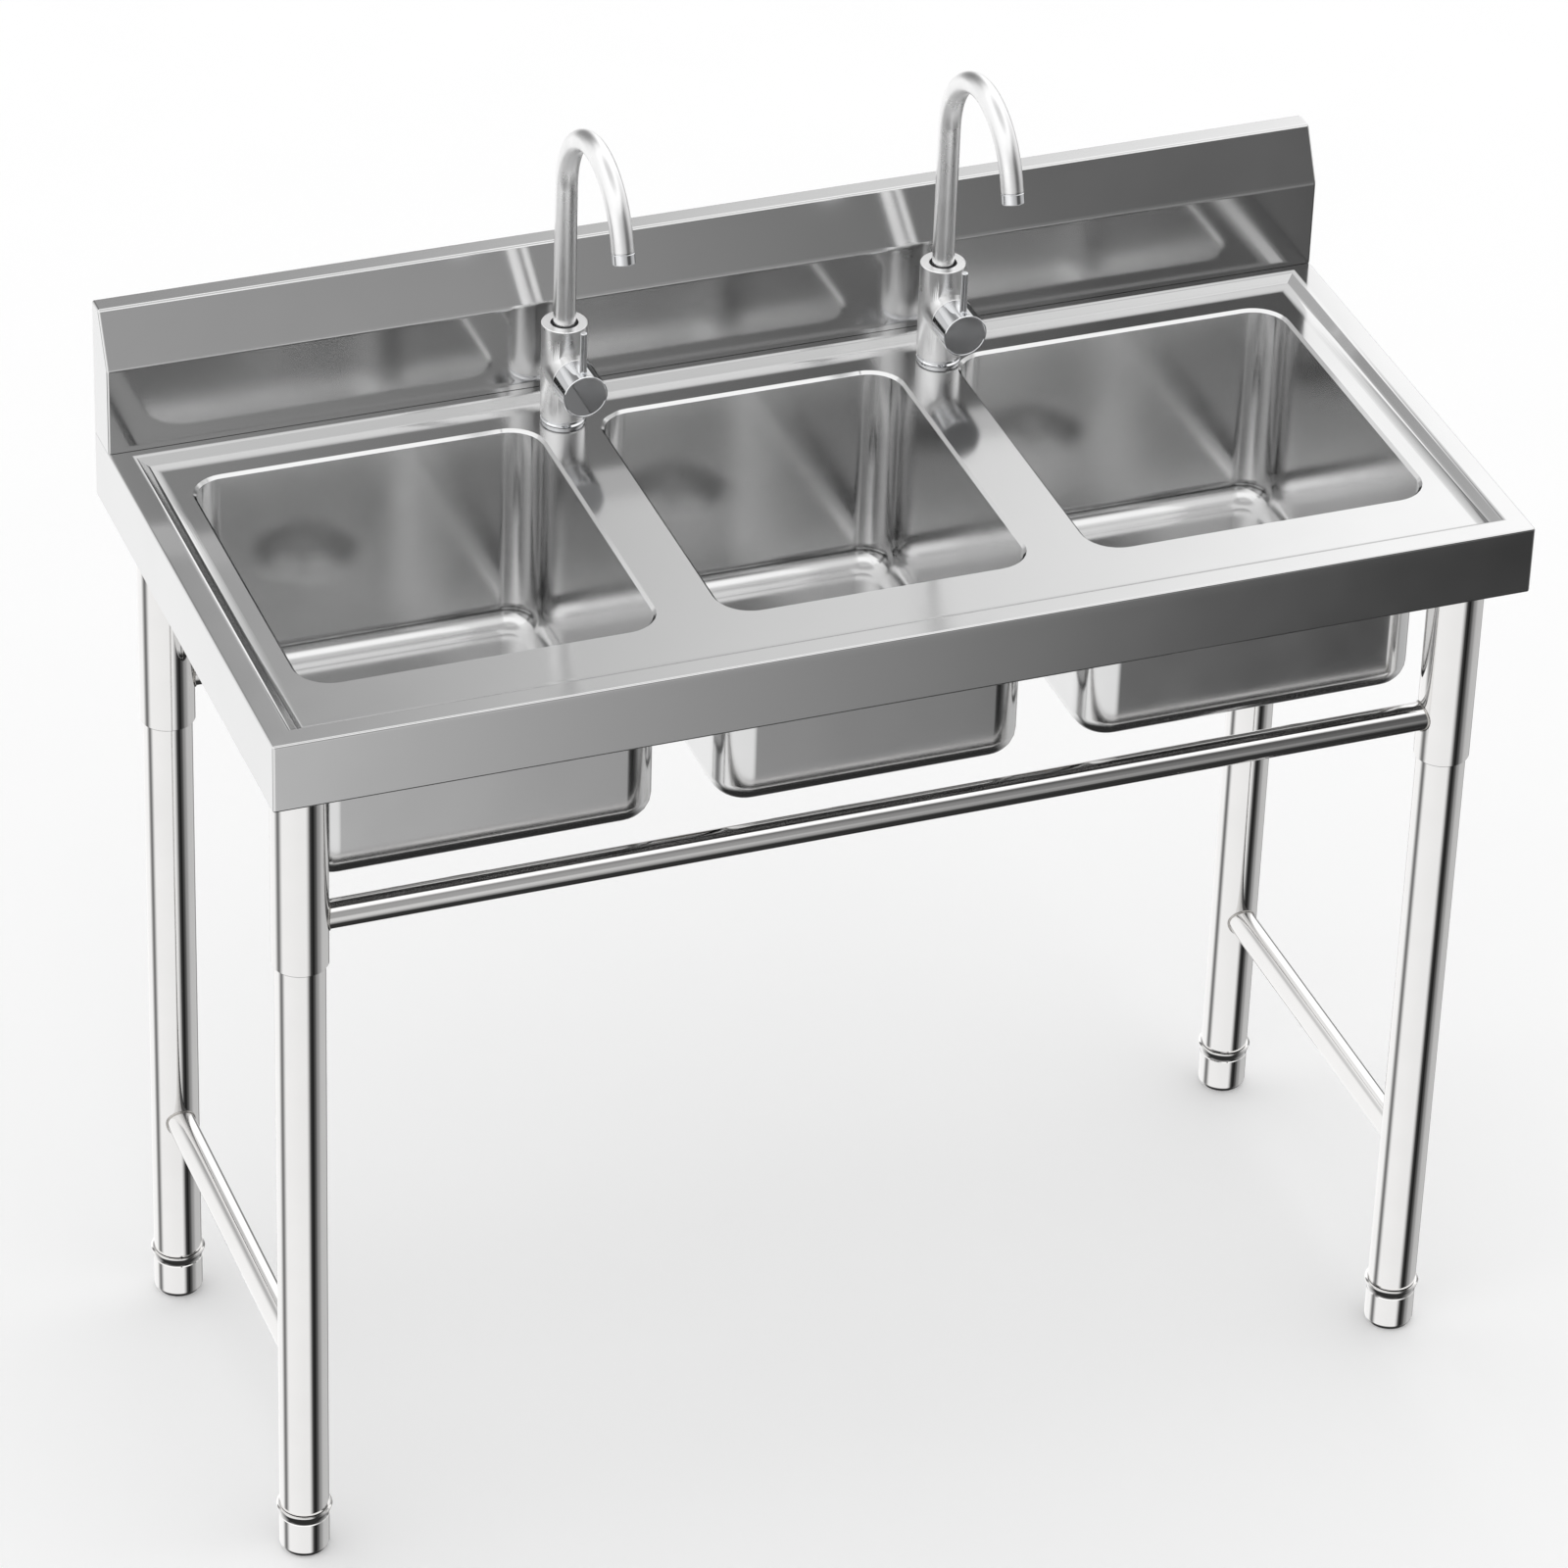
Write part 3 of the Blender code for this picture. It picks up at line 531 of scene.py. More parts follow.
class SINK_OT_worktop(bpy.types.Operator):
    """Folds the worktop: rim, recess, pan, lips round the three openings, apron and hem"""

    bl_idname = "sink.worktop"
    bl_label = "Worktop"
    bl_options = {"REGISTER", "UNDO"}

    def execute(self, context):
        sizes = context.scene.sink_sheet
        pan = DECK_HIGH.z - sizes.recess_depth
        deck = block("worktop", DECK_LOW, DECK_HIGH)
        open_edit(deck)
        self.press(deck, sizes, pan)
        pick(deck, "faces", lambda face: face.normal.z < -LEVEL)
        bpy.ops.mesh.inset(thickness=sizes.hem)
        bpy.ops.mesh.delete(type="FACE")
        # The underside is closed while the openings are cut, so that each is a clean pocket.
        pick(deck, "edges", lambda edge: edge.is_boundary)
        bpy.ops.mesh.edge_face_add()
        close_edit()
        self.pierce(deck, context.scene.sink_bowl, pan)
        open_edit(deck)
        self.fold(deck, sizes, pan)
        self.trim(deck, pan - sizes.lip)
        close_edit()
        apply(deck, "SOLIDIFY", thickness=sizes.sheet, offset=-1, use_even_offset=False)
        smooth(deck, 30)
        hand_over(deck, "frame", "sheet", "sheet_steel", "worktop_deck")
        return {"FINISHED"}

    def press(self, deck, sizes, pan):
        """Marks the recess on the top, presses it down to the pan and slopes its four walls."""
        low = Vector((DECK_LOW.x + sizes.rim_side, DECK_LOW.y + sizes.rim_front))
        high = Vector((DECK_HIGH.x - sizes.rim_side, SPLASH_LOW.y - sizes.rim_rear))
        for plane, normal in (
            ((low.x, 0, 0), (1, 0, 0)),
            ((high.x, 0, 0), (1, 0, 0)),
            ((0, low.y, 0), (0, 1, 0)),
            ((0, high.y, 0), (0, 1, 0)),
        ):
            pick(deck, "faces", lambda face: face.normal.z > LEVEL)
            bpy.ops.mesh.bisect(plane_co=plane, plane_no=normal)
        centre = (low + high) / 2
        span = high - low

        def marked(face):
            return face.normal.z > LEVEL and (face.calc_center_median().xy - centre).length < sizes.rim_side

        found = pick(deck, "faces", marked)
        if found != 1:
            raise RuntimeError(f"the recess is {found} faces, not one")
        extrude((0, 0, pan - DECK_HIGH.z))
        shrink = (1 - 2 * sizes.recess_run / span.x, 1 - (sizes.recess_run + sizes.front_run) / span.y, 1)
        bpy.ops.transform.resize(value=shrink, center_override=(centre.x, centre.y, pan))
        bpy.ops.transform.translate(value=(0, (sizes.front_run - sizes.recess_run) / 2, 0))

    def pierce(self, deck, bowls, pan):
        """Cuts a pocket for each bowl and each faucet."""
        bottom = pan - POCKET
        top = pan + CUTTER_OVER
        for side in BOWLS:
            x0, y0, x1, y1 = opening_of(side, bowls)
            cut(deck, rounded("opening", (x0, y0, bottom), (x1, y1, top), bowls.corner))
        for side in FAUCETS:
            low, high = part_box(f"{side}_faucet_shank")
            at = (low + high) / 2
            cut(deck, rod("tap_hole", TAP_HOLE, (at.x, at.y, bottom), (at.x, at.y, top)))

    def fold(self, deck, sizes, pan):
        """Rounds the foot of the recess and the outer folds, and breaks the edges of the openings."""

        def creased(edge):
            return edge.calc_face_angle(0) > CREASE

        def upright_beside(edge):
            return any(abs(face.normal.z) < 1 - LEVEL for face in edge.link_faces)

        def recess_foot(edge):
            return level(edge, pan) and creased(edge) and not upright_beside(edge)

        def folded(edge):
            heights = [vert.co.z for vert in edge.verts]
            corner = max(heights) - min(heights) > sizes.hem
            hem = level(edge, DECK_LOW.z) and upright_beside(edge)
            return creased(edge) and (level(edge, DECK_HIGH.z) or corner or hem)

        def lip_edge(edge):
            return level(edge, pan) and creased(edge) and upright_beside(edge)

        round_edges(deck, recess_foot, sizes.foot, 6)
        round_edges(deck, folded, sizes.fold, 4, miter_outer="ARC")
        round_edges(deck, lip_edge, sizes.roll, 1)

    def trim(self, deck, lip):
        """Takes the pockets' lower walls and floors away, which leaves the lips, and opens the underside."""
        bpy.ops.mesh.select_all(action="SELECT")
        bpy.ops.mesh.bisect(plane_co=(0, 0, lip), plane_no=(0, 0, 1))
        margin = 0.004

        def waste(face):
            centre = face.calc_center_median()
            inside = abs(centre.x) < DECK_HIGH.x - margin and abs(centre.y) < DECK_HIGH.y - margin
            bottom = centre.z < DECK_LOW.z + 2 * NEAR and face.calc_area() > 0.1
            return bottom or (inside and DECK_LOW.z + margin < centre.z < lip - NEAR)

        pick(deck, "faces", waste)
        bpy.ops.mesh.delete(type="FACE")
        bpy.ops.mesh.select_all(action="SELECT")
        bpy.ops.mesh.remove_doubles(threshold=0.000005)


class SINK_OT_backsplash(bpy.types.Operator):
    """Folds the backsplash: an upright face, a face that leans back, a flat top and closed ends"""

    bl_idname = "sink.backsplash"
    bl_label = "Backsplash"
    bl_options = {"REGISTER", "UNDO"}

    def execute(self, context):
        sizes = context.scene.sink_sheet
        bend = DECK_HIGH.z + sizes.splash_bend

        def in_front(vert):
            return vert.co.y < SPLASH_LOW.y + NEAR

        splash = block("splash", SPLASH_LOW, SPLASH_HIGH)
        open_edit(splash)
        bpy.ops.mesh.select_all(action="SELECT")
        bpy.ops.mesh.bisect(plane_co=(0, 0, bend), plane_no=(0, 0, 1))
        pick(splash, "verts", lambda vert: vert.co.z > SPLASH_HIGH.z - NEAR and in_front(vert))
        bpy.ops.transform.translate(value=(0, sizes.splash_setback, 0))
        pick(splash, "faces", lambda face: face.normal.z < -LEVEL)
        bpy.ops.mesh.delete(type="FACE")
        round_edges(splash, lambda edge: level(edge, bend) and all(map(in_front, edge.verts)), SPLASH_BEND, 4)
        round_edges(splash, lambda edge: edge.calc_face_angle(0) > math.radians(40), sizes.fold, 3)
        close_edit()
        apply(splash, "SOLIDIFY", thickness=sizes.sheet, offset=-1, use_even_offset=False)
        smooth(splash, 30)
        hand_over(splash, "frame", "sheet", "sheet_steel", "backsplash")
        return {"FINISHED"}


class SINK_OT_bowls(bpy.types.Operator):
    """Draws the three bowls, with round corners, a round foot, a drain hole and a flange"""

    bl_idname = "sink.bowls"
    bl_label = "Bowls"
    bl_options = {"REGISTER", "UNDO"}

    def execute(self, context):
        bowls = context.scene.sink_bowl
        sheet = context.scene.sink_sheet
        top = DECK_HIGH.z - sheet.recess_depth - sheet.lip
        back = bowls.setback
        flange = bowls.flange - bowls.sheet
        for side in BOWLS:
            x0, y0, x1, y1 = opening_of(side, bowls)
            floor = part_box(f"{side}_bowl")[0].z + bowls.sheet
            middle = ((x0 + x1) / 2, (y0 + y1) / 2)
            low, high = (x0 - back, y0 - back, floor), (x1 + back, y1 + back, top)
            shell = rounded(f"bowl_{side}", low, high, bowls.corner + back)
            open_edit(shell)
            round_edges(shell, lambda edge: level(edge, floor), bowls.foot, 6)
            close_edit()
            reach = floor + CUTTER_OVER
            below = floor - 2 * CUTTER_OVER
            cut(shell, rod("drain_hole", DRAIN_HOLE, (*middle, below), (*middle, reach), 72))
            open_edit(shell)

            def opened(face):
                centre = face.calc_center_median()
                away = math.hypot(centre.x - middle[0], centre.y - middle[1])
                pocket = away < DRAIN_HOLE + 0.001 and floor + NEAR < centre.z < reach + 5 * NEAR
                return pocket or face.normal.z > LEVEL

            pick(shell, "faces", opened)
            bpy.ops.mesh.delete(type="FACE")
            pick(shell, "edges", lambda edge: level(edge, top))
            extrude((0, 0, 0))
            grow_x = 1 + 2 * flange / (x1 - x0 + 2 * back)
            grow_y = 1 + 2 * flange / (y1 - y0 + 2 * back)
            bpy.ops.transform.resize(value=(grow_x, grow_y, 1), center_override=(*middle, top))
            close_edit()
            apply(shell, "SOLIDIFY", thickness=bowls.sheet, offset=1, use_even_offset=False)
            smooth(shell, 40)
            hand_over(shell, "frame", "bowl", "bowl_steel", f"{side}_bowl")
        return {"FINISHED"}


class SINK_OT_drains(bpy.types.Operator):
    """Turns the drains with their gaskets and nuts, and the lift-out strainers"""

    bl_idname = "sink.drains"
    bl_label = "Drains and strainers"
    bl_options = {"REGISTER", "UNDO"}

    def execute(self, context):
        body = self.body()
        low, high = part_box("middle_drain_gasket")
        gasket = lathe("gasket_middle", band(COLLAR_BORE, GASKET, low.z, high.z), closed=True, edge=0.0007)
        nut = self.locknut()
        basket = self.strainer()
        for side in BOWLS:
            near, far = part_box(f"{side}_drain_body")
            move = ((near.x + far.x) / 2, 0, 0)
            for piece, label, finish, slot, node, carrier in (
                (body, "drain", "drain", "drain_steel", "drain_body", "frame"),
                (gasket, "gasket", "rubber", "rubber", "drain_gasket", "frame"),
                (nut, "locknut", "nylon", "nylon", "drain_locknut", "frame"),
                (basket, "strainer", "drain", "drain_steel", "strainer_basket", f"{side}_basket_body"),
            ):
                made = piece if side == "middle" else copy_of(piece, f"{label}_{side}", move)
                hand_over(made, carrier, finish, slot, f"{side}_{node}")
        return {"FINISHED"}

    def body(self):
        """The flange rises to a round lip and falls into the cup, which narrows to the outlet."""
        low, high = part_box("middle_drain_body")
        outer = (high.x - low.x) / 2
        seat = high.z - DRAIN_WALL
        inside = CUP - DRAIN_WALL
        hole = OUTLET - DRAIN_WALL
        section = [
            (outer, seat + 0.0001), (outer - 0.0006, seat + 0.0011), (outer - 0.0040, seat + 0.0016),
            (CUP + 0.0025, seat + 0.0014), (CUP + 0.0007, seat + 0.0010), (CUP - 0.0002, seat + 0.0002),
            (inside, seat - 0.0010), (inside, seat - 0.0340), (inside - 0.0043, seat - 0.0380),
            (hole, seat - 0.0388), (hole, low.z + 0.0004), (hole + 0.0004, low.z),
            (OUTLET - 0.0002, low.z), (OUTLET, low.z + 0.0004), (OUTLET, seat - 0.0400),
            (CUP - 0.0045, seat - 0.0392), (CUP, seat - 0.0345), (CUP, seat + 0.0001),
        ]
        return lathe("drain_middle", section, closed=True)

    def locknut(self):
        low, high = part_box("middle_drain_locknut")
        nut = lathe("locknut_middle", band(COLLAR_BORE, LOCKNUT, low.z, high.z), closed=True, edge=0.0007)
        grips = []
        for turn in range(LUGS):
            near = (LOCKNUT - 0.0005, -0.0032, low.z + 0.001)
            lug = block("grip", near, (LOCKNUT + 0.0025, 0.0032, high.z - 0.001))
            soften(lug, 0.0008, segments=2)
            lug.rotation_euler = (0, 0, turn * 2 * math.pi / LUGS)
            activate(lug)
            settle()
            grips.append(lug)
        return join("locknut_middle", [nut, *grips])

    def strainer(self):
        """A turned cup with its knob on a post, punched with three rings of round holes."""
        low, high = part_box("middle_strainer_basket")
        floor = low.z
        rim = high.z - 0.0046
        knob, post, wall, lip = 0.0075, 0.0030, 0.0387, 0.0420
        section = [
            (knob - 0.0007, high.z), (knob, high.z - 0.0008), (knob, high.z - 0.0034),
            (0.0066, high.z - 0.0042),
            (post, rim + 0.0010), (post - 0.0004, floor + 0.0040), (post + 0.0006, floor + 0.0014),
            (0.0070, floor + 0.0009), (0.0320, floor + 0.0009), (0.0342, floor + 0.0024),
            (wall - 0.0005, rim - 0.0030), (wall, rim - 0.0008), (wall + 0.0006, rim), (lip - 0.0003, rim),
            (lip, rim - 0.0003), (lip, rim - 0.0007), (lip - 0.0003, rim - 0.0010), (0.0400, rim - 0.0010),
            (0.0394, rim - 0.0018), (0.0389, rim - 0.0040), (0.0349, floor + 0.0018), (0.0324, floor),
        ]
        cup = lathe("strainer_middle", section)
        drills = []
        for count, ring in DRILL_RINGS:
            for turn in range(count):
                angle = (turn + 0.5) * 2 * math.pi / count
                at = (ring * math.cos(angle), ring * math.sin(angle))
                drills.append(rod("drill", DRILL, (*at, floor - 0.004), (*at, floor + 0.005), 16))
        cut(cup, join("drills", drills))
        smooth(cup, 35)
        return cup


class SINK_OT_legs(bpy.types.Operator):
    """Makes the leg sockets, the leg tubes, the foot inserts and the adjusting feet"""

    bl_idname = "sink.legs"
    bl_label = "Legs and feet"
    bl_options = {"REGISTER", "UNDO"}

    def execute(self, context):
        wall = context.scene.sink_tube.wall
        tube_low, tube_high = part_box("front_left_leg_tube")
        radius = (tube_high.x - tube_low.x) / 2
        bore = radius - wall
        section = [
            (radius, tube_high.z), (radius, tube_low.z + 0.0005), (radius - 0.0003, tube_low.z),
            (bore, tube_low.z), (bore, tube_high.z),
        ]
        for part, model, body in (
            ("leg_socket", self.socket(), "frame"),
            ("leg_tube", lathe("leg_model", section, closed=True, steps=80), "frame"),
            ("foot_insert", self.insert(radius, bore, tube_low.z - GAP), "frame"),
            ("adjusting_foot", self.foot(), "foot_body"),
        ):
            for corner in CORNERS:
                made = copy_of(model, f"{part}_{corner}_bright", centre_of(f"{corner}_{part}"))
                carrier = body if body == "frame" else f"{corner}_{body}"
                hand_over(made, carrier, "tube_upright", "tube_steel", f"{corner}_{part}")
            bpy.data.objects.remove(model)
        return {"FINISHED"}

    def socket(self):
        low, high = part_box("front_left_leg_socket")
        flange = (high.x - low.x) / 2
        section = [
            (flange, high.z), (flange, high.z - 0.0016), (flange - 0.0008, high.z - 0.0020),
            (SOCKET + 0.0006, high.z - 0.0020), (SOCKET, high.z - 0.0030), (SOCKET, low.z + 0.0008),
            (SOCKET - 0.0004, low.z + 0.0001), (0.0206, low.z), (SOCKET_BORE + 0.0003, low.z + 0.0004),
            (SOCKET_BORE, low.z + 0.0012), (SOCKET_BORE, high.z - 0.0030),
        ]
        return lathe("socket_model", section, steps=80)

    def insert(self, radius, bore, top):
        low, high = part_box("front_left_foot_insert")
        brim = (high.x - low.x) / 2
        section = [
            (bore - GAP, high.z), (bore - GAP, top), (radius + 0.0006, top - 0.0004),
            (brim - 0.0008, top - 0.0001), (brim - 0.0002, top), (brim, top - 0.0006),
            (brim - 0.0004, top - 0.0022), (brim - 0.0020, low.z + 0.0030), (brim - 0.0021, low.z + 0.0006),
            (brim - 0.0025, low.z), (INSERT_BORE, low.z), (INSERT_BORE, high.z),
        ]
        return lathe("insert_model", section, closed=True, steps=80)

    def foot(self):
        low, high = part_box("front_left_adjusting_foot")
        width = (high.x - low.x) / 2
        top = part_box("front_left_foot_insert")[0].z - GAP
        section = [
            (STEM, high.z), (STEM, top), (width - 0.0006, top), (width, top - 0.0006), (width, 0.0062),
            (width - 0.0004, 0.0044), (width - 0.0016, 0.0022), (width - 0.0034, 0.0006),
            (width - 0.0044, 0.0),
        ]
        return lathe("foot_model", section, steps=80)


class SINK_OT_rails(bpy.types.Operator):
    """Makes the rails and stretchers, hollows their ends to fit the legs, and lays the weld beads"""

    bl_idname = "sink.rails"
    bl_label = "Rails and stretchers"
    bl_options = {"REGISTER", "UNDO"}

    def execute(self, context):
        bead = context.scene.sink_tube.bead
        over = Vector((0, 0, 0.05))
        for name, legs, part, column, along in (
            ("front_rail", ("front_left", "front_right"), "leg_socket", SOCKET, "long"),
            ("rear_rail", ("rear_left", "rear_right"), "leg_socket", SOCKET, "long"),
            ("left_stretcher", ("front_left", "rear_left"), "leg_tube", LEG, "deep"),
            ("right_stretcher", ("front_right", "rear_right"), "leg_tube", LEG, "deep"),
        ):
            low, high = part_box(name)
            ends = [centre_of(f"{leg}_{part}", (high.z + low.z) / 2) for leg in legs]
            pipe = rod(f"{name}_pipe", (high.z - low.z) / 2, *ends)
            for at in ends:
                cut(pipe, rod("column", column, at - over, at + over, 80))
            beads = [
                self.weld(pipe, at, column, bead, f"{name}_weld_{index}") for index, at in enumerate(ends)
            ]
            smooth(pipe, 40)
            hand_over(pipe, "frame", f"tube_{along}", "tube_steel", name)
            hand_over(join(f"{name}_welds", beads), "frame", "weld", "tube_steel")
        return {"FINISHED"}

    def weld(self, pipe, at, column, bead, name):
        """A bead along the saddle line, made from the pipe's own end edges."""
        open_edit(pipe)

        def on_saddle(edge):
            if edge.calc_face_angle(0) < math.radians(35):
                return False
            return all(abs((vert.co.xy - at.xy).length - column) < 2 * NEAR for vert in edge.verts)

        pick(pipe, "edges", on_saddle)
        bpy.ops.mesh.duplicate()
        bpy.ops.mesh.separate(type="SELECTED")
        close_edit()
        line = next(obj for obj in bpy.context.selected_objects if obj != pipe)
        activate(line)
        bpy.ops.object.convert(target="CURVE")
        line = bpy.context.object
        line.data.bevel_depth = bead
        line.data.bevel_resolution = 2
        bpy.ops.object.convert(target="MESH")
        made = bpy.context.object
        made.name = name
        bpy.ops.object.shade_smooth()
        return made


class SINK_OT_faucets(bpy.types.Operator):
    """Turns the faucet bodies, their bosses and base rings, and the fittings under the worktop"""

    bl_idname = "sink.faucets"
    bl_label = "Faucet bodies"
    bl_options = {"REGISTER", "UNDO"}

    def execute(self, context):
        for side in FAUCETS:
            low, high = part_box(f"{side}_faucet_base_ring")
            at = centre_of(f"{side}_faucet_base_ring")
            self.body(side, at)
            section = [
                (RING_BORE, low.z), (0.0176, low.z), (0.0178, low.z + 0.0008), (0.0168, low.z + 0.0016),
                (0.0168, high.z - 0.0004), (0.0164, high.z), (RING_BORE, high.z),
            ]
            ring = lathe(f"base_ring_{side}", section, at, closed=True)
            hand_over(ring, "frame", "chrome", "chrome", f"{side}_faucet_base_ring")
            self.mounting(side, at)
        return {"FINISHED"}

    def body(self, side, at):
        low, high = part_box(f"{side}_faucet_body")
        handle_low, handle_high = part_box(f"{side}_handle")
        radius = (high.x - low.x) / 2
        axis = handle_low.z + (handle_high.x - handle_low.x) / 2
        section = [
            (0.0108, high.z - 0.0140), (0.0108, high.z - 0.0004), (0.0112, high.z), (radius - 0.0005, high.z),
            (radius, high.z - 0.0005), (radius, low.z + 0.0016), (radius, low.z + 0.0004),
            (radius - 0.0004, low.z), (0.0100, low.z),
        ]
        pillar = lathe(f"faucet_{side}", section, at)
        reach = at.y - low.y
        section = [
            (radius - 0.0001, 0.002), (radius - 0.0001, reach - 0.0004), (radius - 0.0005, reach),
            (VALVE_BORE, reach), (VALVE_BORE, 0.012),
        ]
        boss = lathe("boss", section, (at.x, at.y, axis), turn=(math.pi / 2, 0, 0))
        cut(pillar, boss, "UNION")
        smooth(pillar, 30)
        hand_over(pillar, "frame", "satin", "satin_faucet", f"{side}_faucet_body")

    def mounting(self, side, at):
        """The shank, whose fine thread is drawn as rings, and the washer and nut that hold it."""
        low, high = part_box(f"{side}_faucet_shank")
        turns = [(SHANK_BORE, high.z), (SHANK, high.z)]
        height = high.z - 0.006
        while height > low.z + 0.002:
            turns += [(SHANK, height), (SHANK - THREAD_DEPTH, height - THREAD_PITCH / 2)]
            height -= THREAD_PITCH
        turns += [(SHANK - 0.0004, low.z), (SHANK_BORE, low.z)]
        shank = lathe(f"shank_{side}", turns, at, closed=True, steps=36)
        hand_over(shank, "frame", "brass", "brass", f"{side}_faucet_shank")
        low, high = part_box(f"{side}_faucet_washer")
        section = band(NUT_BORE, WASHER, low.z, high.z)
        washer = lathe(f"washer_{side}", section, at, closed=True, edge=0.0005, steps=48)
        hand_over(washer, "frame", "rubber", "rubber", f"{side}_faucet_washer")
        low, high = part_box(f"{side}_faucet_nut")
        nut = rod(f"nut_{side}", (high.y - low.y) / 2, (at.x, at.y, low.z), (at.x, at.y, high.z), 6)
        bottom, top = low.z - CUTTER_OVER, high.z + CUTTER_OVER
        cut(nut, rod("thread", NUT_BORE, (at.x, at.y, bottom), (at.x, at.y, top), 48))
        soften(nut, 0.0006, 30, 2)
        smooth(nut, 30)
        hand_over(nut, "frame", "brass", "brass", f"{side}_faucet_nut")


class SINK_OT_handles(bpy.types.Operator):
    """Turns the faucet handles and their pin levers, and gives the cartridges inside their finish"""

    bl_idname = "sink.handles"
    bl_label = "Handles and levers"
    bl_options = {"REGISTER", "UNDO"}

    def execute(self, context):
        for side in FAUCETS:
            low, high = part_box(f"{side}_handle")
            radius = (high.x - low.x) / 2
            pillar = centre_of(f"{side}_faucet_base_ring")
            centre = Vector(((low.x + high.x) / 2, pillar.y, low.z + radius))
            start, end = centre.y - high.y, centre.y - low.y
            section = [
                (HANDLE_BORE, start + 0.0040), (HANDLE_BORE, start), (radius - 0.0005, start),
                (radius, start + 0.0005), (radius, end - 0.0005), (radius - 0.0005, end),
                (radius - 0.0011, end), (radius - 0.0014, end - 0.0003),
            ]
            grip = lathe(f"handle_{side}_turned", section, centre, turn=(math.pi / 2, 0, 0), steps=96)
            pin_low, pin_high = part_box(f"{side}_lever")
            pin_radius = (pin_high.x - pin_low.x) / 2
            at = centre_of(f"{side}_lever")
            bottom, top = at + Vector((0, 0, pin_low.z)), at + Vector((0, 0, 1))
            cut(grip, rod("pin_hole", pin_radius + GAP, bottom, top, 36))
            smooth(grip, 30)
            body = f"{side}_handle_body"
            hand_over(grip, body, "chrome", "satin_faucet", f"{side}_handle")
            section = [
                (pin_radius, pin_low.z), (pin_radius, pin_high.z - 0.0008),
                (pin_radius - 0.0003, pin_high.z - 0.0003), (pin_radius - 0.0009, pin_high.z),
            ]
            pin = lathe(f"lever_{side}_turned", section, at, steps=36)
            hand_over(pin, body, "chrome", "chrome", f"{side}_lever")
            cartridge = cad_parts[f"{side}_valve_cartridge"]
            cartridge.data.materials.clear()
            cartridge.data.materials.append(FINISHES["cartridge"])
        return {"FINISHED"}


class SINK_OT_spouts(bpy.types.Operator):
    """Bends the goosenecks, and turns the aerators at their tips and the seals at their feet"""

    bl_idname = "sink.spouts"
    bl_label = "Spouts"
    bl_options = {"REGISTER", "UNDO"}

    def execute(self, context):
        sizes = context.scene.sink_faucet
        run = Vector((0, -math.sin(sizes.sweep), math.cos(sizes.sweep)))
        arc = Vector((0, -(1 - math.cos(sizes.sweep)), math.sin(sizes.sweep))) * sizes.arc_radius
        for side in FAUCETS:
            low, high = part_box(f"{side}_spout")
            radius = (high.x - low.x) / 2
            at = Vector(((low.x + high.x) / 2, high.y - radius, low.z))
            body = f"{side}_spout_body"
            spout = self.gooseneck(side, at, radius, run, sizes)
            hand_over(spout, body, "satin", "satin_faucet", f"{side}_spout")
            mouth = Vector((at.x, at.y, sizes.arc_height)) + arc + run * (sizes.tip + GAP)
            section = [
                (radius - 0.0004, 0.0), (radius - 0.0004, 0.0008), (radius, 0.0012), (radius, 0.0084),
                (radius - 0.0006, 0.0090), (radius - 0.0016, 0.0090), (radius - 0.0020, 0.0082),
                (radius - 0.0020, 0.0052),
            ]
            turn = run.to_track_quat("Z", "Y").to_euler()
            aerator = lathe(f"aerator_{side}_turned", section, mouth, turn=turn, steps=48)
            hand_over(aerator, body, "chrome", "chrome", f"{side}_aerator")
            low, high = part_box(f"{side}_spout_seal")
            section = [
                (radius + GAP, low.z), (SEAL, low.z), (SEAL, high.z - 0.0004), (SEAL - 0.0004, high.z),
                (radius + 0.0007, high.z), (radius + GAP, high.z - 0.0004),
            ]
            seal = lathe(f"seal_{side}_moulded", section, (at.x, at.y, 0), closed=True, steps=48)
            hand_over(seal, "frame", "rubber", "rubber", f"{side}_spout_seal")
        return {"FINISHED"}

    def gooseneck(self, side, at, radius, run, sizes):
        """A circle drawn straight up, round the arc and on along the tip, then given its wall."""
        tidy_selection()
        bpy.ops.mesh.primitive_circle_add(vertices=48, radius=radius, location=at)
        spout = bpy.context.object
        spout.name = f"spout_{side}_bent"
        settle()
        open_edit(spout)
        bpy.ops.mesh.select_all(action="SELECT")
        extrude((0, 0, sizes.arc_height - at.z))
        hub = (at.x, at.y - sizes.arc_radius, sizes.arc_height)
        bpy.ops.mesh.spin(steps=48, angle=-sizes.sweep, center=hub, axis=(1, 0, 0))
        extrude(run * sizes.tip)
        bpy.ops.mesh.select_all(action="SELECT")
        bpy.ops.mesh.remove_doubles(threshold=0.000002)
        bpy.ops.mesh.normals_make_consistent(inside=False)
        close_edit()
        apply(spout, "SOLIDIFY", thickness=SPOUT_WALL, offset=-1)
        smooth(spout, 40)
        return spout


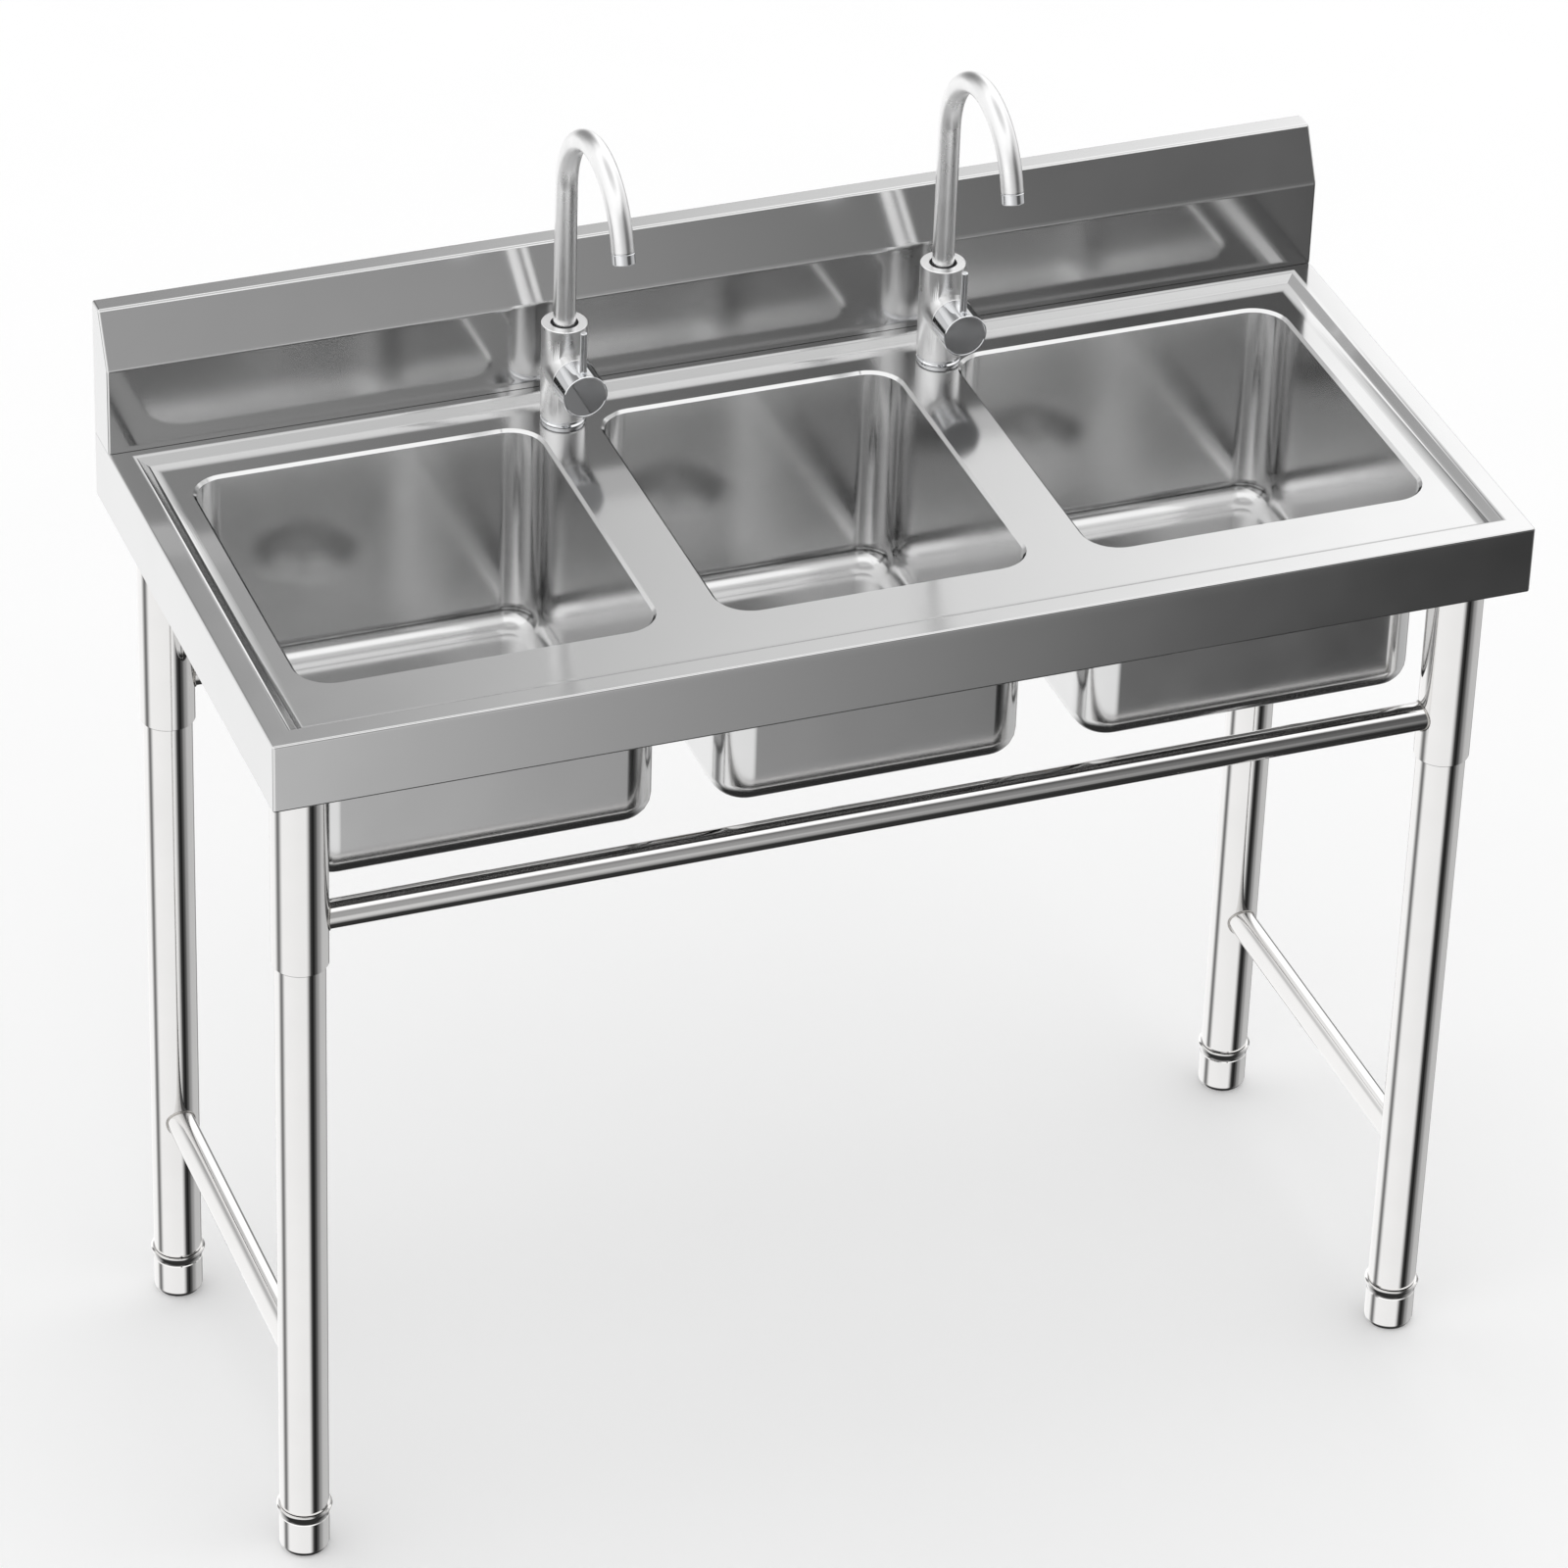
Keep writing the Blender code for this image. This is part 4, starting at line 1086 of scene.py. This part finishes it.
class SINK_OT_stage(bpy.types.Operator):
    """Sets out the floor, the soft light and the camera"""

    bl_idname = "sink.stage"
    bl_label = "Studio"
    bl_options = {"REGISTER", "UNDO"}

    def execute(self, context):
        self.floor(context)
        self.light(context)
        self.camera(context)
        return {"FINISHED"}

    def floor(self, context):
        tidy_selection()
        bpy.ops.mesh.primitive_plane_add(size=FLOOR_SIZE, location=(0, 0, 0))
        floor = bpy.context.object
        floor.name = "studio_floor"
        # Painted board: pale and matte, with a roller's faint mottling.
        made, tree = new_material("floor_painted_board")
        tint = context.scene.sink_colours.floor
        darker = tuple(part * 0.985 for part in tint)
        finish_material(tree, mottled(tree, FLOOR_PATCH, 3.0, 0.5, (tint, darker), (0.9, 0.9))[2])
        floor.data.materials.append(made)
        floor.visible_glossy = False

    def light(self, context):
        """Mirrors see a studio that changes with the direction; everything else sees an even white room."""
        world = bpy.data.worlds.new("studio")
        world.use_nodes = True
        tree = world.node_tree
        tree.nodes.clear()
        way = add(tree, "TexCoord").outputs["Generated"]
        parts = add(tree, "SeparateXYZ", {"Vector": way})
        ahead = add(tree, "Math", {0: parts.outputs["Y"], 1: -1.0}, operation="MULTIPLY")
        sideways = parts.outputs["X"]
        bearing = add(tree, "Math", {0: sideways, 1: ahead.outputs[0]}, operation="ARCTAN2")
        half = {"Value": bearing.outputs[0], "From Min": -math.pi, "From Max": math.pi}
        turn = add(tree, "MapRange", half)
        low, high = (self.ramp(tree, turn, stops).outputs["Color"] for stops in (LOW_LIGHT, HIGH_LIGHT))
        rise, over, under = (
            add(tree, "MapRange", {"Value": parts.outputs["Z"], "From Min": start, "From Max": end})
            for start, end in (HORIZON, ROOF, PIT)
        )
        # A bright ring stands over the sides, and it dims right overhead.
        start, end = OVERHEAD
        glow = {"From Min": start, "From Max": end, "To Min": ROOF_GLOW, "To Max": OVERHEAD_GLOW}
        top = add(tree, "MapRange", {"Value": parts.outputs["Z"], **glow}).outputs["Result"]
        # Straight down it is dark, which draws the black bands under rails and bowls.
        pit = (PIT_GLOW, PIT_GLOW, PIT_GLOW, 1)
        seen = low
        for share, beyond in ((rise, high), (over, top), (under, pit)):
            sockets = {"Factor": share.outputs["Result"], 6: seen, 7: beyond}
            seen = add(tree, "Mix", sockets, data_type="RGBA").outputs[2]
        rays = add(tree, "LightPath")
        gloss = add(tree, "Background", {"Color": seen, "Strength": 1.0})
        plain = add(tree, "Background", {"Color": (1, 1, 1, 1), "Strength": ROOM_GLOW})
        sockets = {0: rays.outputs["Is Glossy Ray"], 1: plain.outputs[0], 2: gloss.outputs[0]}
        both = add(tree, "MixShader", sockets)
        add(tree, "OutputWorld", {"Surface": both.outputs[0]})
        context.scene.world = world
        context.scene.view_settings.view_transform = "Standard"

    def ramp(self, tree, turn, stops):
        """A ramp over the whole turn. Each stop is an angle, from the front to the right, and a brightness."""
        made = add(tree, "ValToRGB", {"Fac": turn.outputs["Result"]})
        ramp = made.color_ramp
        ramp.interpolation = "EASE"
        while len(ramp.elements) < len(stops):
            ramp.elements.new(0.5)
        for element, (angle, _) in zip(ramp.elements, stops):
            element.position = (angle + 180) / 360
        for element, (_, value) in zip(ramp.elements, stops):
            element.color = (value, value, value, 1)
        return made

    def camera(self, context):
        data = bpy.data.cameras.new("studio_camera")
        data.sensor_width = SENSOR
        data.lens = LENS
        camera = bpy.data.objects.new("studio_camera", data)
        context.scene.collection.objects.link(camera)
        ahead = math.cos(CAMERA_TIP)
        look = Vector((math.sin(CAMERA_TURN) * ahead, math.cos(CAMERA_TURN) * ahead, -math.sin(CAMERA_TIP)))
        right = Vector((math.cos(CAMERA_TURN), -math.sin(CAMERA_TURN), 0))
        up = right.cross(look)
        cos, sin = math.cos(CAMERA_ROLL), math.sin(CAMERA_ROLL)
        right, up = cos * right + sin * up, cos * up - sin * right
        matrix = Matrix((right, up, -look)).transposed().to_4x4()
        matrix.translation = Vector(CAMERA_PLACE)
        camera.matrix_world = matrix
        context.scene.camera = camera


# Brightness round the studio, below and above the horizon, by angle from the front towards the right.
LOW_LIGHT = (
    (-180, 1.10), (-134, 1.10), (-109, 0.20), (-86, 1.05), (8, 1.00), (15, 0.74), (21, 0.34), (27, 0.05),
    (38, 0.015), (48, 0.08), (64, 0.34), (85, 0.60), (125, 0.60), (140, 0.20), (160, 0.95), (180, 1.10),
)
HIGH_LIGHT = (
    (-180, 0.20), (-165, 0.30), (-140, 1.10), (-60, 1.20), (0, 0.60), (15, 0.42), (24, 0.11), (45, 0.10),
    (80, 0.80), (120, 1.20), (152, 1.35), (158, 0.86), (164, 0.40), (172, 0.22), (180, 0.20),
)

OPERATORS = (
    SINK_OT_worktop,
    SINK_OT_backsplash,
    SINK_OT_bowls,
    SINK_OT_drains,
    SINK_OT_legs,
    SINK_OT_rails,
    SINK_OT_faucets,
    SINK_OT_handles,
    SINK_OT_spouts,
    SINK_OT_stage,
)
GROUPS = {
    "sink_sheet": SinkSheetSizes,
    "sink_bowl": SinkBowlSizes,
    "sink_tube": SinkTubeSizes,
    "sink_faucet": SinkFaucetSizes,
    "sink_colours": SinkColours,
}


class SINK_PT_panel(bpy.types.Panel):
    """Lists the sink's pieces and sizes"""

    bl_idname = "SINK_PT_panel"
    bl_label = "Sink"
    bl_space_type = "VIEW_3D"
    bl_region_type = "UI"
    bl_category = "Sink"

    def draw(self, context):
        for operator in OPERATORS:
            self.layout.operator(operator.bl_idname)
        for name, group in GROUPS.items():
            box = self.layout.box()
            for entry in group.__annotations__:
                box.prop(getattr(context.scene, name), entry)


def register():
    for group in GROUPS.values():
        bpy.utils.register_class(group)
    for name, group in GROUPS.items():
        setattr(bpy.types.Scene, name, bpy.props.PointerProperty(type=group))
    for operator in OPERATORS:
        bpy.utils.register_class(operator)
    bpy.utils.register_class(SINK_PT_panel)


def unregister():
    bpy.utils.unregister_class(SINK_PT_panel)
    for operator in reversed(OPERATORS):
        bpy.utils.unregister_class(operator)
    for name, group in GROUPS.items():
        delattr(bpy.types.Scene, name)
        bpy.utils.unregister_class(group)


def main():
    register()
    make_finishes(bpy.context.scene.sink_colours)
    bpy.ops.sink.stage()
    bpy.ops.sink.worktop()
    bpy.ops.sink.backsplash()
    bpy.ops.sink.bowls()
    bpy.ops.sink.drains()
    bpy.ops.sink.legs()
    bpy.ops.sink.rails()
    bpy.ops.sink.faucets()
    bpy.ops.sink.handles()
    bpy.ops.sink.spouts()
    tidy_selection()


if __name__ == "__main__":
    main()
